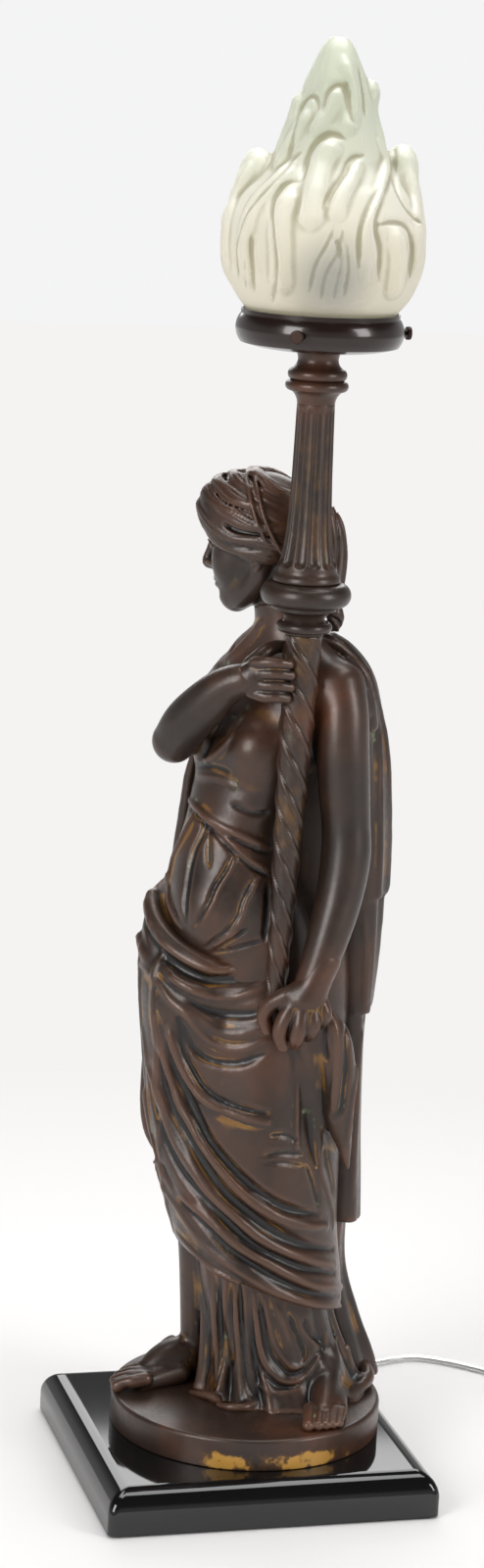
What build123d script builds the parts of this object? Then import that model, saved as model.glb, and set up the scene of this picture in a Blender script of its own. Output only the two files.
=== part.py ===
"""Table lamp: a draped cast figure on a stone slab holds up a torch with a glass flame.

Millimetres, +Z up. X and Y run along the slab's sides and the origin is the middle of its
underside. The figure stands turned on its slab, so its castings are placed in a frame of
their own: u to the viewer's right, v away from the viewer, z up.
"""

import os
from math import atan2, cos, degrees, pi, radians, sin, sqrt, tan

from build123d import *

os.makedirs("parts", exist_ok=True)

# ---------------------------------------------------------------- driving dimensions, mm

# Base
pad_side = 226.0
pad_thickness = 1.6
slab_side = 232.0
slab_height = 29.4
slab_bullnose = 16.0
slab_corner = 5.0
plinth_radius = 94.5
plinth_height = 22.0
plinth_edge = 3.0
plinth_u = 5.8
plinth_v = 5.1
figure_turn = -15.8

# What ties the plinth to the slab
nipple_radius = 5.0
nipple_bore = 3.4
nipple_clearance = 0.3
nipple_reach = 12.0
washer_radius = 11.0
washer_thickness = 1.5
nut_width = 14.0
nut_height = 4.0
recess_radius = 15.0
recess_depth = 20.0

# Torch, measured up from the table
torch_u = 18.3
torch_v = -3.7
staff_foot_u = 12.3
staff_foot_v = -18.0
staff_foot_z = 340.0
staff_top_z = 594.0
staff_top_radius = 12.6
staff_foot_radius = 6.4
staff_bands = 4
staff_lead = 96.0
ridge_radius = 1.2
staff_seat = 0.6
staff_room = 0.3
knob_radius = 6.6
knob_length = 21.0
collar_height = 19.0
collar_radius = 21.0
collar_waist = 13.4
torus_height = 16.0
torus_radius = 30.5
column_height = 119.0
column_top_radius = 12.6
column_foot_radius = 22.0
flutes = 12
flute_radius = 2.3
flute_foot = 11.0
cap_height = 36.0
cap_bead_low = 21.0
cap_bead_high = 19.7
cap_waist = 13.5

# Gallery ring, socket and bulb
gallery_radius = 55.7
gallery_height = 25.0
gallery_floor = 4.0
pipe_radius = 4.9
pipe_bore = 3.4
pipe_clearance = 0.2
pipe_top_reach = 11.0
lock_nut_width = 15.0
lock_nut_height = 4.0
socket_radius = 19.0
socket_wall = 1.0
socket_height = 40.0
socket_cap_height = 14.0
screw_shell_radius = 14.2
screw_shell_wall = 0.6
screw_shell_height = 22.0
bulb_base_radius = 13.2
bulb_base_height = 21.0
bulb_radius = 27.0
bulb_height = 72.0
running_gap = 0.4

# Glass flame
neck_radius = 49.2
neck_bead = 0.8
neck_lip_height = 4.0
glass_wall = 3.0
shade_height = 195.0
shade_radius = 67.8
flame_tongues = 7
shade_lift_room = 0.35

# Thumbscrews
screw_shank_radius = 1.6
screw_head_radius = 4.5
screw_head_thickness = 3.3
screw_neck = 3.6
screw_rise = 12.0
screw_count = 3
screw_clearance = 0.35

# Cord, switch and plug
cord_diameter = 5.0
exit_x = 50.0
exit_z = 8.0
relief_radius = 5.0
relief_tip_radius = 3.6
relief_length = 20.0
relief_seat = 8.0
coil_start_x = 250.0
coil_y = -1.0
coil_pitch = 5.5
coil_middle_radius = 29.0
coil_layer_half_turns = 7
switch_y = 72.0
switch_length = 46.0
switch_width = 20.0
switch_height = 15.0
wheel_radius = 8.0
wheel_thickness = 4.0
wheel_proud = 2.2
plug_length = 34.0
plug_width = 24.0
plug_height = 15.8
blade_length = 17.5
blade_width = 6.4
blade_thickness = 1.5
blade_spacing = 12.7

# ---------------------------------------------------------------- levels worked out from them

slab_z = pad_thickness
slab_top = slab_z + slab_height
plinth_top = slab_top + plinth_height
collar_z = staff_top_z
torus_z = collar_z + collar_height
column_z = torus_z + torus_height
cap_z = column_z + column_height
gallery_z = cap_z + cap_height
well_z = gallery_z + gallery_floor
screw_z = gallery_z + screw_rise

figure = Plane.XY.rotated((0, 0, figure_turn))


def at(u, v, z):
    """The point of the row frame that lies at (u, v, z) in the figure's frame."""
    return figure.from_local_coords(Vector(u, v, z))


torch = figure.from_local_coords(Vector(torch_u, torch_v, 0))


def keep(name, piece):
    """Label a finished piece and write it as its own file."""
    piece.label = name
    export_step(piece, f"parts/{name}.step")
    return piece


# ---------------------------------------------------------------- shapes used more than once


def limb(stations, side=(0, 0, 1), round_start=False, round_end=False):
    """A tapering limb through stations (u, v, z, half width, half thickness).

    side is the direction, in the figure's frame, that the half widths are measured along.
    """
    points = [at(u, v, z) for u, v, z, wide, thick in stations]
    across = at(*side)
    with BuildPart() as piece:
        for index, (u, v, z, wide, thick) in enumerate(stations):
            before = points[max(index - 1, 0)]
            after = points[min(index + 1, len(points) - 1)]
            along = (after - before).normalized()
            level = (across - along * across.dot(along)).normalized()
            with BuildSketch(Plane(origin=points[index], x_dir=level, z_dir=along)):
                Ellipse(wide, thick)
        loft()
        if round_start:
            with Locations(points[0]):
                Sphere(min(stations[0][3:]) * 0.98)
        if round_end:
            with Locations(points[-1]):
                Sphere(min(stations[-1][3:]) * 0.98)
    return piece.part


def tilted_plane(u, v, z, slope_u, slope_v):
    """A plane through (u, v, z) that rises by the two slopes along u and v."""
    return Plane(
        origin=at(u, v, z), x_dir=at(1, 0, slope_u), z_dir=at(-slope_u, -slope_v, 1)
    )


def folded_cloth(sections, folds, points_per_fold=3):
    """A draped body lofted through closed outlines that ripple with the cloth's folds.

    Each section is (u, v, z, half width, half depth, slope u, slope v, ripple, shift).
    """
    count = folds * points_per_fold
    with BuildPart() as cloth:
        for u, v, z, wide, deep, slope_u, slope_v, ripple, shift in sections:
            outline = []
            for step in range(count):
                turn = 2 * pi * step / count
                swell = 1 + ripple * cos(folds * turn + radians(shift)) / wide
                outline.append((wide * swell * cos(turn), deep * swell * sin(turn)))
            with BuildSketch(tilted_plane(u, v, z, slope_u, slope_v)):
                with BuildLine():
                    Spline(*outline, periodic=True)
                make_face()
        loft()
    return cloth.part


def turned(profile):
    """A solid turned about the torch's axis from (radius, height) corners and arcs."""
    with BuildPart() as piece:
        with BuildSketch(Plane(origin=torch, x_dir=(1, 0, 0), z_dir=(0, -1, 0))):
            with BuildLine():
                profile()
            make_face()
        revolve(axis=Axis(torch, (0, 0, 1)))
    return piece.part


# ---------------------------------------------------------------- base

with BuildPart() as felt_pad:
    with BuildSketch():
        RectangleRounded(pad_side, pad_side, slab_corner)
        Circle(recess_radius, mode=Mode.SUBTRACT)
    extrude(amount=pad_thickness)
keep("felt_pad", felt_pad.part)

channel_width = 2 * relief_radius + 0.6
channel_top = exit_z + relief_radius + 0.3

with BuildPart() as slab_base:
    with BuildSketch(Plane.XY.offset(slab_z)):
        RectangleRounded(slab_side, slab_side, slab_corner)
    extrude(amount=slab_height)
    rim = slab_base.faces().sort_by(Axis.Z)[-1].edges()
    fillet(rim, slab_bullnose)
    with Locations((0, 0, slab_z)):
        Cylinder(
            recess_radius,
            recess_depth,
            align=(Align.CENTER, Align.CENTER, Align.MIN),
            mode=Mode.SUBTRACT,
        )
        Cylinder(
            nipple_radius + nipple_clearance,
            slab_height,
            align=(Align.CENTER, Align.CENTER, Align.MIN),
            mode=Mode.SUBTRACT,
        )
    # Channel from the middle recess to the point of exit, and the round hole in the back face
    channel_z = slab_z + (channel_top - slab_z) / 2
    with Locations((exit_x / 2, 0, channel_z)):
        Box(exit_x + channel_width, channel_width, channel_top - slab_z, mode=Mode.SUBTRACT)
    channel_end = slab_side / 2 - relief_seat
    with Locations((exit_x, channel_end / 2, channel_z)):
        Box(channel_width, channel_end, channel_top - slab_z, mode=Mode.SUBTRACT)
    with Locations(Location((exit_x, slab_side / 2, exit_z), (90, 0, 0))):
        Cylinder(relief_radius, 2 * relief_seat, mode=Mode.SUBTRACT)
keep("slab_base", slab_base.part)

nut_z = slab_z + recess_depth - washer_thickness - nut_height

with BuildPart() as base_washer:
    with BuildSketch(Plane.XY.offset(slab_z + recess_depth - washer_thickness)):
        Circle(washer_radius)
        Circle(nipple_radius + nipple_clearance, mode=Mode.SUBTRACT)
    extrude(amount=washer_thickness)
keep("base_washer", base_washer.part)

with BuildPart() as base_nut:
    with BuildSketch(Plane.XY.offset(nut_z)):
        RegularPolygon(nut_width / 2, 6, major_radius=False)
        Circle(nipple_radius, mode=Mode.SUBTRACT)
    extrude(amount=nut_height)
keep("base_nut", base_nut.part)

nipple_foot = nut_z - 1.0

with BuildPart() as base_nipple:
    with BuildSketch(Plane.XY.offset(nipple_foot)):
        Circle(nipple_radius)
        Circle(nipple_bore, mode=Mode.SUBTRACT)
    extrude(amount=slab_top + nipple_reach - nipple_foot)
keep("base_nipple", base_nipple.part)

with BuildPart() as plinth:
    with BuildSketch(figure.offset(slab_top)):
        with Locations((plinth_u, plinth_v)):
            Circle(plinth_radius)
    extrude(amount=plinth_height)
    fillet(plinth.edges().group_by(Axis.Z)[-1], plinth_edge)
    fillet(plinth.edges().group_by(Axis.Z)[0], plinth_edge / 3)
    with Locations((0, 0, slab_top)):
        Cylinder(
            nipple_radius,
            nipple_reach,
            align=(Align.CENTER, Align.CENTER, Align.MIN),
            mode=Mode.SUBTRACT,
        )
keep("plinth", plinth.part)

# ---------------------------------------------------------------- the staff's leaning axis

staff_axis_top = at(torch_u, torch_v, staff_top_z)
staff_axis_foot = at(staff_foot_u, staff_foot_v, staff_foot_z)
staff_along = (staff_axis_top - staff_axis_foot).normalized()
staff_length = (staff_axis_top - staff_axis_foot).length


def staff_point(z):
    """The point of the staff's leaning axis at height z."""
    share = (z - staff_foot_z) / (staff_top_z - staff_foot_z)
    return staff_axis_foot + (staff_axis_top - staff_axis_foot) * share


# The room that the staff and its knob take up, cut out of what they pass
with BuildPart() as torch_room:
    with BuildSketch(Plane(origin=staff_axis_foot, z_dir=staff_along)):
        Circle(staff_foot_radius + ridge_radius + staff_room)
    with BuildSketch(Plane(origin=staff_axis_top, z_dir=staff_along)):
        Circle(staff_top_radius + ridge_radius + staff_room)
    loft()
    with Locations(staff_axis_foot):
        Cylinder(
            knob_radius + staff_room,
            knob_length + staff_room,
            align=(Align.CENTER, Align.CENTER, Align.MAX),
        )

# ---------------------------------------------------------------- figure: lower body

mantle_sections = [
    # u, v, z, half width, half depth, slope u, slope v, ripple, shift
    (-12, 30, 385, 68, 48, -0.12, 0.60, 0.0, 0),
    (-11, 30, 366, 70, 47, -0.14, 0.52, 1.5, 20),
    (-10, 31, 335, 71, 48, -0.17, 0.36, 2.5, 40),
    (-7, 29, 296, 69, 52, -0.21, 0.20, 3.0, 70),
    (-3, 25, 256, 67, 57, -0.25, 0.10, 3.5, 100),
    (1, 22, 214, 65, 59, -0.30, 0.04, 3.5, 130),
    (6, 20, 172, 62, 59, -0.34, -0.02, 4.0, 160),
    (10, 18, 140, 60, 57, -0.37, -0.05, 4.0, 190),
]
mantle_folds = 9
mantle_body = folded_cloth(mantle_sections, mantle_folds)

underskirt_sections = [
    (14, 20, 136.0, 42, 42, -0.37, -0.05, 3.0, 0),
    (20, 19, 104.0, 45, 44, -0.15, -0.02, 4.0, 30),
    (27, 17, 76.0, 51, 48, 0.0, 0.0, 5.0, 60),
    (33, 14, plinth_top, 59, 52, 0.0, 0.0, 6.0, 90),
]
underskirt_folds = 13
underskirt_body = folded_cloth(underskirt_sections, underskirt_folds)

right_leg_body = limb(
    [
        (-43, 30, 172, 17, 16),
        (-42, 28, 148, 15, 14.5),
        (-40, 26, 118, 12, 12),
        (-38, 25, 92, 9, 9.5),
        (-36, 25, 74, 9, 10),
        (-35, 26, 60, 9, 12),
    ],
    side=(0, 1, 0),
)
right_foot_body = limb(
    [
        (-24, 33, 62, 8, 8),
        (-34, 27, 63, 10, 11),
        (-50, 18, 62, 11.5, 10.5),
        (-66, 8, 58.5, 14, 7.5),
        (-79, 1, 56.5, 13.5, 5.5),
        (-88, -4, 55.5, 10, 3.5),
    ],
    side=(0.45, -0.9, 0),
    round_start=True,
)
left_foot_body = limb(
    [
        (57, 12, 68, 10, 12),
        (58, 0, 67, 11, 13),
        (59, -15, 64, 12.5, 11),
        (60, -32, 60, 15, 8.5),
        (61, -48, 57.5, 17, 6),
        (61, -62, 55.5, 13, 3.5),
    ],
    side=(1, 0, 0),
    round_start=True,
)

with BuildPart() as mantle_skirt:
    add(mantle_body)
    add(torch_room.part, mode=Mode.SUBTRACT)
keep("mantle_skirt", mantle_skirt.part)

ground = Plane.XY.offset(plinth_top)

with BuildPart() as right_leg:
    add(right_leg_body)
    add(right_foot_body)
    split(bisect_by=ground, keep=Keep.TOP)
    add(mantle_body, mode=Mode.SUBTRACT)
keep("right_leg", right_leg.part)

with BuildPart() as left_foot:
    add(left_foot_body)
    split(bisect_by=ground, keep=Keep.TOP)
keep("left_foot", left_foot.part)

with BuildPart() as underskirt:
    add(underskirt_body)
    add(right_leg.part, mode=Mode.SUBTRACT)
    add(left_foot.part, mode=Mode.SUBTRACT)
    add(mantle_body, mode=Mode.SUBTRACT)
keep("underskirt", underskirt.part)

# ---------------------------------------------------------------- figure: torso, head, cloak

torso_sections = [
    # z, u, v, half width, half depth, turn
    (588, 6, 47, 24, 19, -42),
    (575, 7, 46, 45, 24, -42),
    (556, 6, 45, 54, 31, -42),
    (531, 3, 43, 51, 35, -40),
    (506, -4, 40, 46, 37, -38),
    (480, -13, 35, 40, 33, -36),
    (455, -21, 30, 35, 30, -33),
    (430, -23, 28, 40, 34, -30),
    (400, -18, 28, 50, 39, -28),
    (366, -12, 30, 56, 40, -26),
]

with BuildPart() as torso_form:
    for z, u, v, wide, deep, turn in torso_sections:
        with BuildSketch(figure.offset(z)):
            with Locations((u, v)):
                Ellipse(wide, deep, rotation=turn)
    loft()

breast_left = at(-8, 9, 504)
breast_right = at(-36, 30, 501)
breast_radius = 16.0

neck_body = limb(
    [(8, 47, 576, 20, 20), (3, 46, 594, 16, 16), (-3, 46, 622, 15.5, 15.5)], side=(1, 0, 0)
)

head_sections = [
    # z, u, half length, half width, on the head's own middle plane
    (601, -32, 6, 7),
    (607, -28, 14, 13),
    (618, -22, 23, 19),
    (632, -16, 30, 24),
    (648, -11, 35, 27),
    (664, -9, 35, 27),
    (676, -8, 29, 22),
    (685, -7, 14, 11),
]
head_v = 45.0
hair_thickness = 5.0

with BuildPart() as head_form:
    for z, u, long, wide in head_sections:
        with BuildSketch(figure.offset(z)):
            with Locations((u, head_v)):
                Ellipse(long, wide)
    loft()

nose_body = limb(
    [(-44, head_v, 655, 2.4, 3), (-50, head_v, 639, 3.6, 3.4), (-44, head_v, 633, 3.4, 2.4)],
    side=(0, 1, 0),
    round_end=True,
)

with BuildPart() as head:
    add(head_form.part)
    add(nose_body)
    add(neck_body)
keep("head", head.part)

hair_sections = [
    (630, 6, 24, 25),
    (642, 2, 36, 30),
    (656, -3, 43, 33),
    (670, -6, 43, 32),
    (682, -8, 35, 26),
    (692, -8, 15, 11),
]

with BuildPart() as hair_form:
    for z, u, long, wide in hair_sections:
        with BuildSketch(figure.offset(z)):
            with Locations((u, head_v)):
                Ellipse(long, wide)
    loft()

chignon_body = limb(
    [
        (20, 49, 668, 14, 14),
        (30, 51, 650, 13, 13),
        (34, 52, 625, 11.5, 11.5),
        (34, 52, 603, 8.5, 8.5),
    ],
    side=(0, 1, 0),
    round_start=True,
    round_end=True,
)

# The face stays clear of the hair below this sloping line
face_window = Plane(origin=at(-22, head_v, 655), x_dir=at(0, 1, 0), z_dir=at(-0.62, 0, -0.78))

with BuildPart() as hair:
    add(hair_form.part)
    split(bisect_by=face_window, keep=Keep.BOTTOM)
    add(chignon_body)
    add(head.part, mode=Mode.SUBTRACT)
keep("hair", hair.part)

with BuildPart() as torso:
    add(torso_form.part)
    with Locations(breast_left, breast_right):
        Sphere(breast_radius)
    add(mantle_body, mode=Mode.SUBTRACT)
    add(head.part, mode=Mode.SUBTRACT)
    add(torch_room.part, mode=Mode.SUBTRACT)
torso_solid = torso.solids().sort_by(SortBy.VOLUME)[-1]
keep("torso", torso_solid)

cloak_sections = [
    # z, then (u, v) of the near right edge, the middle of the back and the far left edge
    (592, (46, 34), (24, 72), (-14, 80)),
    (572, (62, 36), (22, 84), (-30, 84)),
    (545, (72, 37), (18, 91), (-44, 82)),
    (500, (80, 36), (16, 96), (-55, 78)),
    (450, (85, 35), (14, 97), (-61, 74)),
    (405, (87, 34), (13, 97), (-66, 70)),
    (320, (84, 34), (12, 96), (-73, 66)),
    (235, (79, 34), (12, 95), (-76, 60)),
    (165, (82, 33), (12, 94), (-58, 58)),
    (100, (78, 32), (16, 90), (-40, 58)),
    (plinth_top, (88, 26), (24, 86), (-30, 56)),
]
cloak_thickness = 8.0

with BuildPart() as cloak_form:
    for z, near, back, far in cloak_sections:
        with BuildSketch(figure.offset(z)):
            with BuildLine():
                outer = ThreePointArc(near, back, far)
                inner_near = (near[0] - cloak_thickness * 0.8, near[1] - 2)
                inner_back = (back[0], back[1] - cloak_thickness)
                inner_far = (far[0] + cloak_thickness * 0.8, far[1] - 2)
                Line(far, inner_far)
                ThreePointArc(inner_far, inner_back, inner_near)
                Line(inner_near, near)
            make_face()
    loft(ruled=True)

with BuildPart() as cloak:
    add(cloak_form.part)
    add(mantle_body, mode=Mode.SUBTRACT)
    add(underskirt.part, mode=Mode.SUBTRACT)
    add(torso.part, mode=Mode.SUBTRACT)
    add(head.part, mode=Mode.SUBTRACT)
keep("cloak", cloak.part)


# ---------------------------------------------------------------- figure: ribbon, arms, hands

ribbon_width = 3.2
ribbon_half_width = 34.5
ribbon_half_length = 46.0
ribbon_plane = Plane(origin=at(-8, head_v, 668), x_dir=at(0, 1, 0), z_dir=at(-0.42, 0, 0.907))

with BuildPart() as hair_ribbon:
    with BuildSketch(ribbon_plane.offset(-ribbon_width / 2)):
        Ellipse(ribbon_half_width, ribbon_half_length)
    extrude(amount=ribbon_width)
    add(hair.part, mode=Mode.SUBTRACT)
    add(head.part, mode=Mode.SUBTRACT)
hair_ribbon_solid = hair_ribbon.solids().sort_by(SortBy.VOLUME)[-1]

staff_cone = degrees(atan2(staff_top_radius - staff_foot_radius, staff_length))

with BuildPart() as staff_ridge:
    with BuildLine() as ridge_path:
        Helix(
            pitch=staff_lead,
            height=staff_length,
            radius=staff_foot_radius,
            cone_angle=staff_cone,
            lefthand=True,
        )
    ridge_edge = ridge_path.edges()[0]
    with BuildSketch(Plane(origin=ridge_edge @ 0, z_dir=ridge_edge % 0)):
        Circle(ridge_radius)
    sweep(is_frenet=True)

with BuildPart() as upright_staff:
    with BuildSketch(Plane.XZ):
        with BuildLine():
            Polyline(
                (0, 0),
                (staff_foot_radius, 0),
                (staff_top_radius, staff_length),
                (0, staff_length),
                close=True,
            )
        make_face()
    revolve(axis=Axis.Z)
    with PolarLocations(0, staff_bands):
        add(staff_ridge.part)

with BuildPart() as twisted_staff:
    add(Plane(origin=staff_axis_foot, z_dir=staff_along).from_local_coords(upright_staff.part))
    split(bisect_by=Plane.XY.offset(staff_top_z - staff_seat), keep=Keep.BOTTOM)

right_upper_arm_body = limb(
    [(-34, 82, 560, 18, 17), (-46, 56, 540, 17, 16), (-57, 34, 521, 16, 15.5), (-65, 18, 511, 15.5, 15.5)],
    side=(0.3, -0.3, 1),
    round_start=True,
    round_end=True,
)
right_forearm_body = limb(
    [
        (-65, 18, 511, 15, 15),
        (-54, 8, 530, 15.5, 14.5),
        (-42, 0, 546, 14, 13),
        (-30, -6, 556, 12.5, 11.5),
        (-21, -11, 561, 13, 9.5),
    ],
    side=(-0.5, 0.2, 1),
    round_start=True,
)
right_palm_body = limb(
    [(-23, -10, 561, 13, 9), (-16, -14, 563, 15, 7), (-8, -18, 564, 15, 5)], side=(0, 0, 1)
)
finger_levels = [577, 570, 562, 554]
finger_radius = 3.9
fingers = [
    limb(
        [
            (-14, -18, z, finger_radius, finger_radius),
            (-4, -21, z + 0.5, finger_radius, finger_radius),
            (5, -22.5, z, finger_radius * 0.95, finger_radius * 0.95),
            (11, -20, z - 0.5, finger_radius * 0.85, finger_radius * 0.85),
        ],
        round_end=True,
    )
    for z in finger_levels
]
right_thumb_body = limb(
    [(-16, -8, 573, 5, 5), (-6, -4, 581, 4.5, 4.5), (2, 2, 585, 4, 4)],
    side=(0, 1, 0),
    round_end=True,
)

left_arm_body = limb(
    [
        (46, 9, 562, 18, 17),
        (48.5, 6, 540, 18.5, 18),
        (50.5, 4, 505, 18.5, 18),
        (55, 2, 476, 15, 16),
        (58, 0, 455, 13.5, 14),
        (57, -4, 434, 14, 13.5),
        (53, -10, 410, 13.5, 12.5),
        (46, -18, 384, 12, 10.5),
        (38, -25, 364, 11.5, 9),
    ],
    side=(1, 0, 0),
    round_start=True,
)
left_palm_body = limb(
    [(39, -25, 366, 11.5, 9), (31, -29, 350, 15, 8), (24, -33, 334, 14, 7), (20, -34, 324, 10, 6)],
    side=(1, 0, 0),
)
left_finger_routes = [
    [(27, -34, 332, 5, 5), (25, -37, 320, 4.6, 4.6), (21, -35, 309, 4, 4)],
    [(36, -32, 338, 5, 5), (37, -36, 324, 4.6, 4.6), (33, -35, 311, 4, 4)],
    [(43, -29, 344, 5, 5), (46, -33, 331, 4.6, 4.6), (42, -32, 319, 4, 4)],
]
left_fingers = [limb(route, side=(1, 0, 0), round_end=True) for route in left_finger_routes]
left_thumb_body = limb(
    [(24, -33, 350, 5.5, 5.5), (10, -32, 346, 5, 5), (1, -28, 336, 4.4, 4.4), (1, -25, 325, 3.8, 3.8)],
    side=(0, 1, 0),
    round_end=True,
)

knob_top = staff_point(staff_foot_z)
with BuildPart() as staff_knob:
    with BuildSketch(Plane(origin=knob_top, x_dir=(1, 0, 0), z_dir=(0, -1, 0))):
        with Locations((0, -knob_length / 2)):
            Ellipse(knob_radius, knob_length / 2 + 1.5)
        split(bisect_by=Plane.YZ, keep=Keep.TOP)
    revolve(axis=Axis(knob_top, (0, 0, 1)))
    add(twisted_staff.part, mode=Mode.SUBTRACT)

with BuildPart() as left_arm:
    add(left_arm_body)
    add(mantle_body, mode=Mode.SUBTRACT)
    add(torso.part, mode=Mode.SUBTRACT)
    add(cloak.part, mode=Mode.SUBTRACT)
    add(torch_room.part, mode=Mode.SUBTRACT)

with BuildPart() as left_hand:
    add(left_palm_body)
    add(left_fingers)
    add(left_thumb_body)
    add(left_arm.part, mode=Mode.SUBTRACT)
    add(mantle_body, mode=Mode.SUBTRACT)
    add(twisted_staff.part, mode=Mode.SUBTRACT)
    add(staff_knob.part, mode=Mode.SUBTRACT)

with BuildPart() as right_hand:
    add(right_palm_body)
    add(fingers)
    add(right_thumb_body)
    add(twisted_staff.part, mode=Mode.SUBTRACT)

with BuildPart() as right_arm:
    add(right_upper_arm_body)
    add(right_forearm_body)
    add(torso.part, mode=Mode.SUBTRACT)
    add(cloak.part, mode=Mode.SUBTRACT)
    add(right_hand.part, mode=Mode.SUBTRACT)


def largest(piece):
    """The main solid of a cut piece, without the crumbs that a grazing cut leaves."""
    return piece.solids().sort_by(SortBy.VOLUME)[-1]


# The end of the mantle, held in the left hand, falls down the left side
fall_sections = [
    # z, u, v, half width, half depth
    (322, 50, -6, 12, 14),
    (296, 56, -8, 15, 16),
    (262, 58, -10, 13, 16),
    (226, 66, -10, 4, 8),
]
with BuildPart() as fall_form:
    for z, u, v, wide, deep in fall_sections:
        with BuildSketch(figure.offset(z)):
            with Locations((u, v)):
                Ellipse(wide, deep)
    loft()

with BuildPart() as mantle_fall:
    add(fall_form.part)
    add(mantle_body, mode=Mode.SUBTRACT)
    add(left_hand.part, mode=Mode.SUBTRACT)


keep("hair_ribbon", hair_ribbon_solid)
keep("twisted_staff", largest(twisted_staff))
keep("staff_knob", largest(staff_knob))
keep("left_arm", largest(left_arm))
keep("left_hand", largest(left_hand))
keep("right_hand", largest(right_hand))
keep("right_arm", largest(right_arm))
keep("mantle_fall", largest(mantle_fall))

# ---------------------------------------------------------------- torch above the staff

pipe_hole = pipe_radius + pipe_clearance
pipe_foot_z = collar_z + 2.0
pipe_top_z = well_z + pipe_top_reach


def collar_profile():
    """Ring, hollow throat and upper lip that the torus rests on."""
    ring = collar_radius * 0.9
    Polyline((pipe_hole, collar_z), (collar_waist, collar_z), (collar_waist, collar_z + 2))
    ThreePointArc(
        (collar_waist, collar_z + 2), (ring, collar_z + 5), (collar_waist, collar_z + 8)
    )
    ThreePointArc(
        (collar_waist, collar_z + 8),
        (collar_waist + 1.6, collar_z + 13),
        (collar_radius, collar_z + 16.5),
    )
    Polyline(
        (collar_radius, collar_z + 16.5),
        (collar_radius, torus_z),
        (pipe_hole, torus_z),
        (pipe_hole, collar_z),
    )


keep("staff_collar", turned(collar_profile))


def torus_profile():
    """Full round moulding, flat where it meets its neighbours."""
    flat = torus_radius - torus_height / 2
    Line((pipe_hole, torus_z), (flat, torus_z))
    ThreePointArc(
        (flat, torus_z), (torus_radius, torus_z + torus_height / 2), (flat, column_z)
    )
    Polyline((flat, column_z), (pipe_hole, column_z), (pipe_hole, torus_z))


keep("torch_torus", turned(torus_profile))


def column_profile():
    """Shaft that flares to its foot."""
    shaft_z = column_z + flute_foot
    Line((pipe_hole, column_z), (column_foot_radius, column_z))
    ThreePointArc(
        (column_foot_radius, column_z),
        (column_top_radius + 5.4, column_z + 3.4),
        (column_top_radius + 4.0, shaft_z),
    )
    ThreePointArc(
        (column_top_radius + 4.0, shaft_z),
        (column_top_radius + 1.0, column_z + 0.25 * column_height),
        (column_top_radius, column_z + 0.5 * column_height),
    )
    Polyline(
        (column_top_radius, column_z + 0.5 * column_height),
        (column_top_radius, cap_z),
        (pipe_hole, cap_z),
        (pipe_hole, column_z),
    )


with BuildPart() as fluted_column:
    add(turned(column_profile))
    flute_length = column_height - flute_foot - 6.0
    lean = degrees(atan2(2.6, flute_length))
    with Locations((torch.X, torch.Y, column_z + flute_foot + flute_length / 2)):
        with PolarLocations(column_top_radius + 2.6, flutes):
            with Locations(Location((0, 0, 0), (0, -lean, 0))):
                Cylinder(flute_radius, flute_length, mode=Mode.SUBTRACT)
keep("fluted_column", fluted_column.part)


def cap_profile():
    """Cyma, two beads and the neck under the gallery ring."""
    Line((pipe_hole, cap_z), (column_top_radius, cap_z))
    ThreePointArc(
        (column_top_radius, cap_z),
        (column_top_radius + 1.4, cap_z + 5),
        (column_top_radius + 4.6, cap_z + 8.5),
    )
    ThreePointArc(
        (column_top_radius + 4.6, cap_z + 8.5),
        (cap_bead_low, cap_z + 12),
        (column_top_radius + 4.6, cap_z + 15.5),
    )
    ThreePointArc(
        (column_top_radius + 4.6, cap_z + 15.5),
        (cap_bead_high, cap_z + 19.5),
        (column_top_radius + 4.0, cap_z + 23.5),
    )
    ThreePointArc(
        (column_top_radius + 4.0, cap_z + 23.5),
        (cap_waist, cap_z + 29),
        (cap_waist + 4.5, gallery_z),
    )
    Polyline((cap_waist + 4.5, gallery_z), (pipe_hole, gallery_z), (pipe_hole, cap_z))


keep("column_cap", turned(cap_profile))

with BuildPart() as torch_pipe:
    with BuildSketch(Plane(origin=torch + Vector(0, 0, pipe_foot_z))):
        Circle(pipe_radius)
        Circle(pipe_bore, mode=Mode.SUBTRACT)
    extrude(amount=pipe_top_z - pipe_foot_z)
keep("torch_pipe", torch_pipe.part)

# ---------------------------------------------------------------- gallery ring and its screws

well_radius = neck_radius + neck_bead + 1.2
gallery_top = gallery_z + gallery_height


def gallery_profile():
    """Heavy turned cup: flat floor, full round outside, thin rim."""
    Line((pipe_hole, gallery_z), (cap_waist + 6.0, gallery_z))
    ThreePointArc(
        (cap_waist + 6.0, gallery_z),
        (gallery_radius - 15.0, gallery_z + 0.5),
        (gallery_radius - 3.2, gallery_z + 3.4),
    )
    ThreePointArc(
        (gallery_radius - 3.2, gallery_z + 3.4),
        (gallery_radius, gallery_z + 12.5),
        (gallery_radius - 3.2, gallery_top - 3.0),
    )
    Polyline(
        (gallery_radius - 3.2, gallery_top - 3.0),
        (gallery_radius - 3.2, gallery_top),
        (well_radius, gallery_top),
        (well_radius, well_z),
        (pipe_hole, well_z),
        (pipe_hole, gallery_z),
    )


screw_angles = [360 * index / screw_count for index in range(screw_count)]
screw_tip = neck_radius + neck_bead + screw_clearance
screw_reach = gallery_radius + screw_neck - screw_tip


def screw_plane(angle):
    """Plane at the screw's tip, facing out along the screw."""
    out = Vector(cos(radians(angle)), sin(radians(angle)), 0)
    return Plane(origin=torch + Vector(0, 0, screw_z) + out * screw_tip, z_dir=out)


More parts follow.
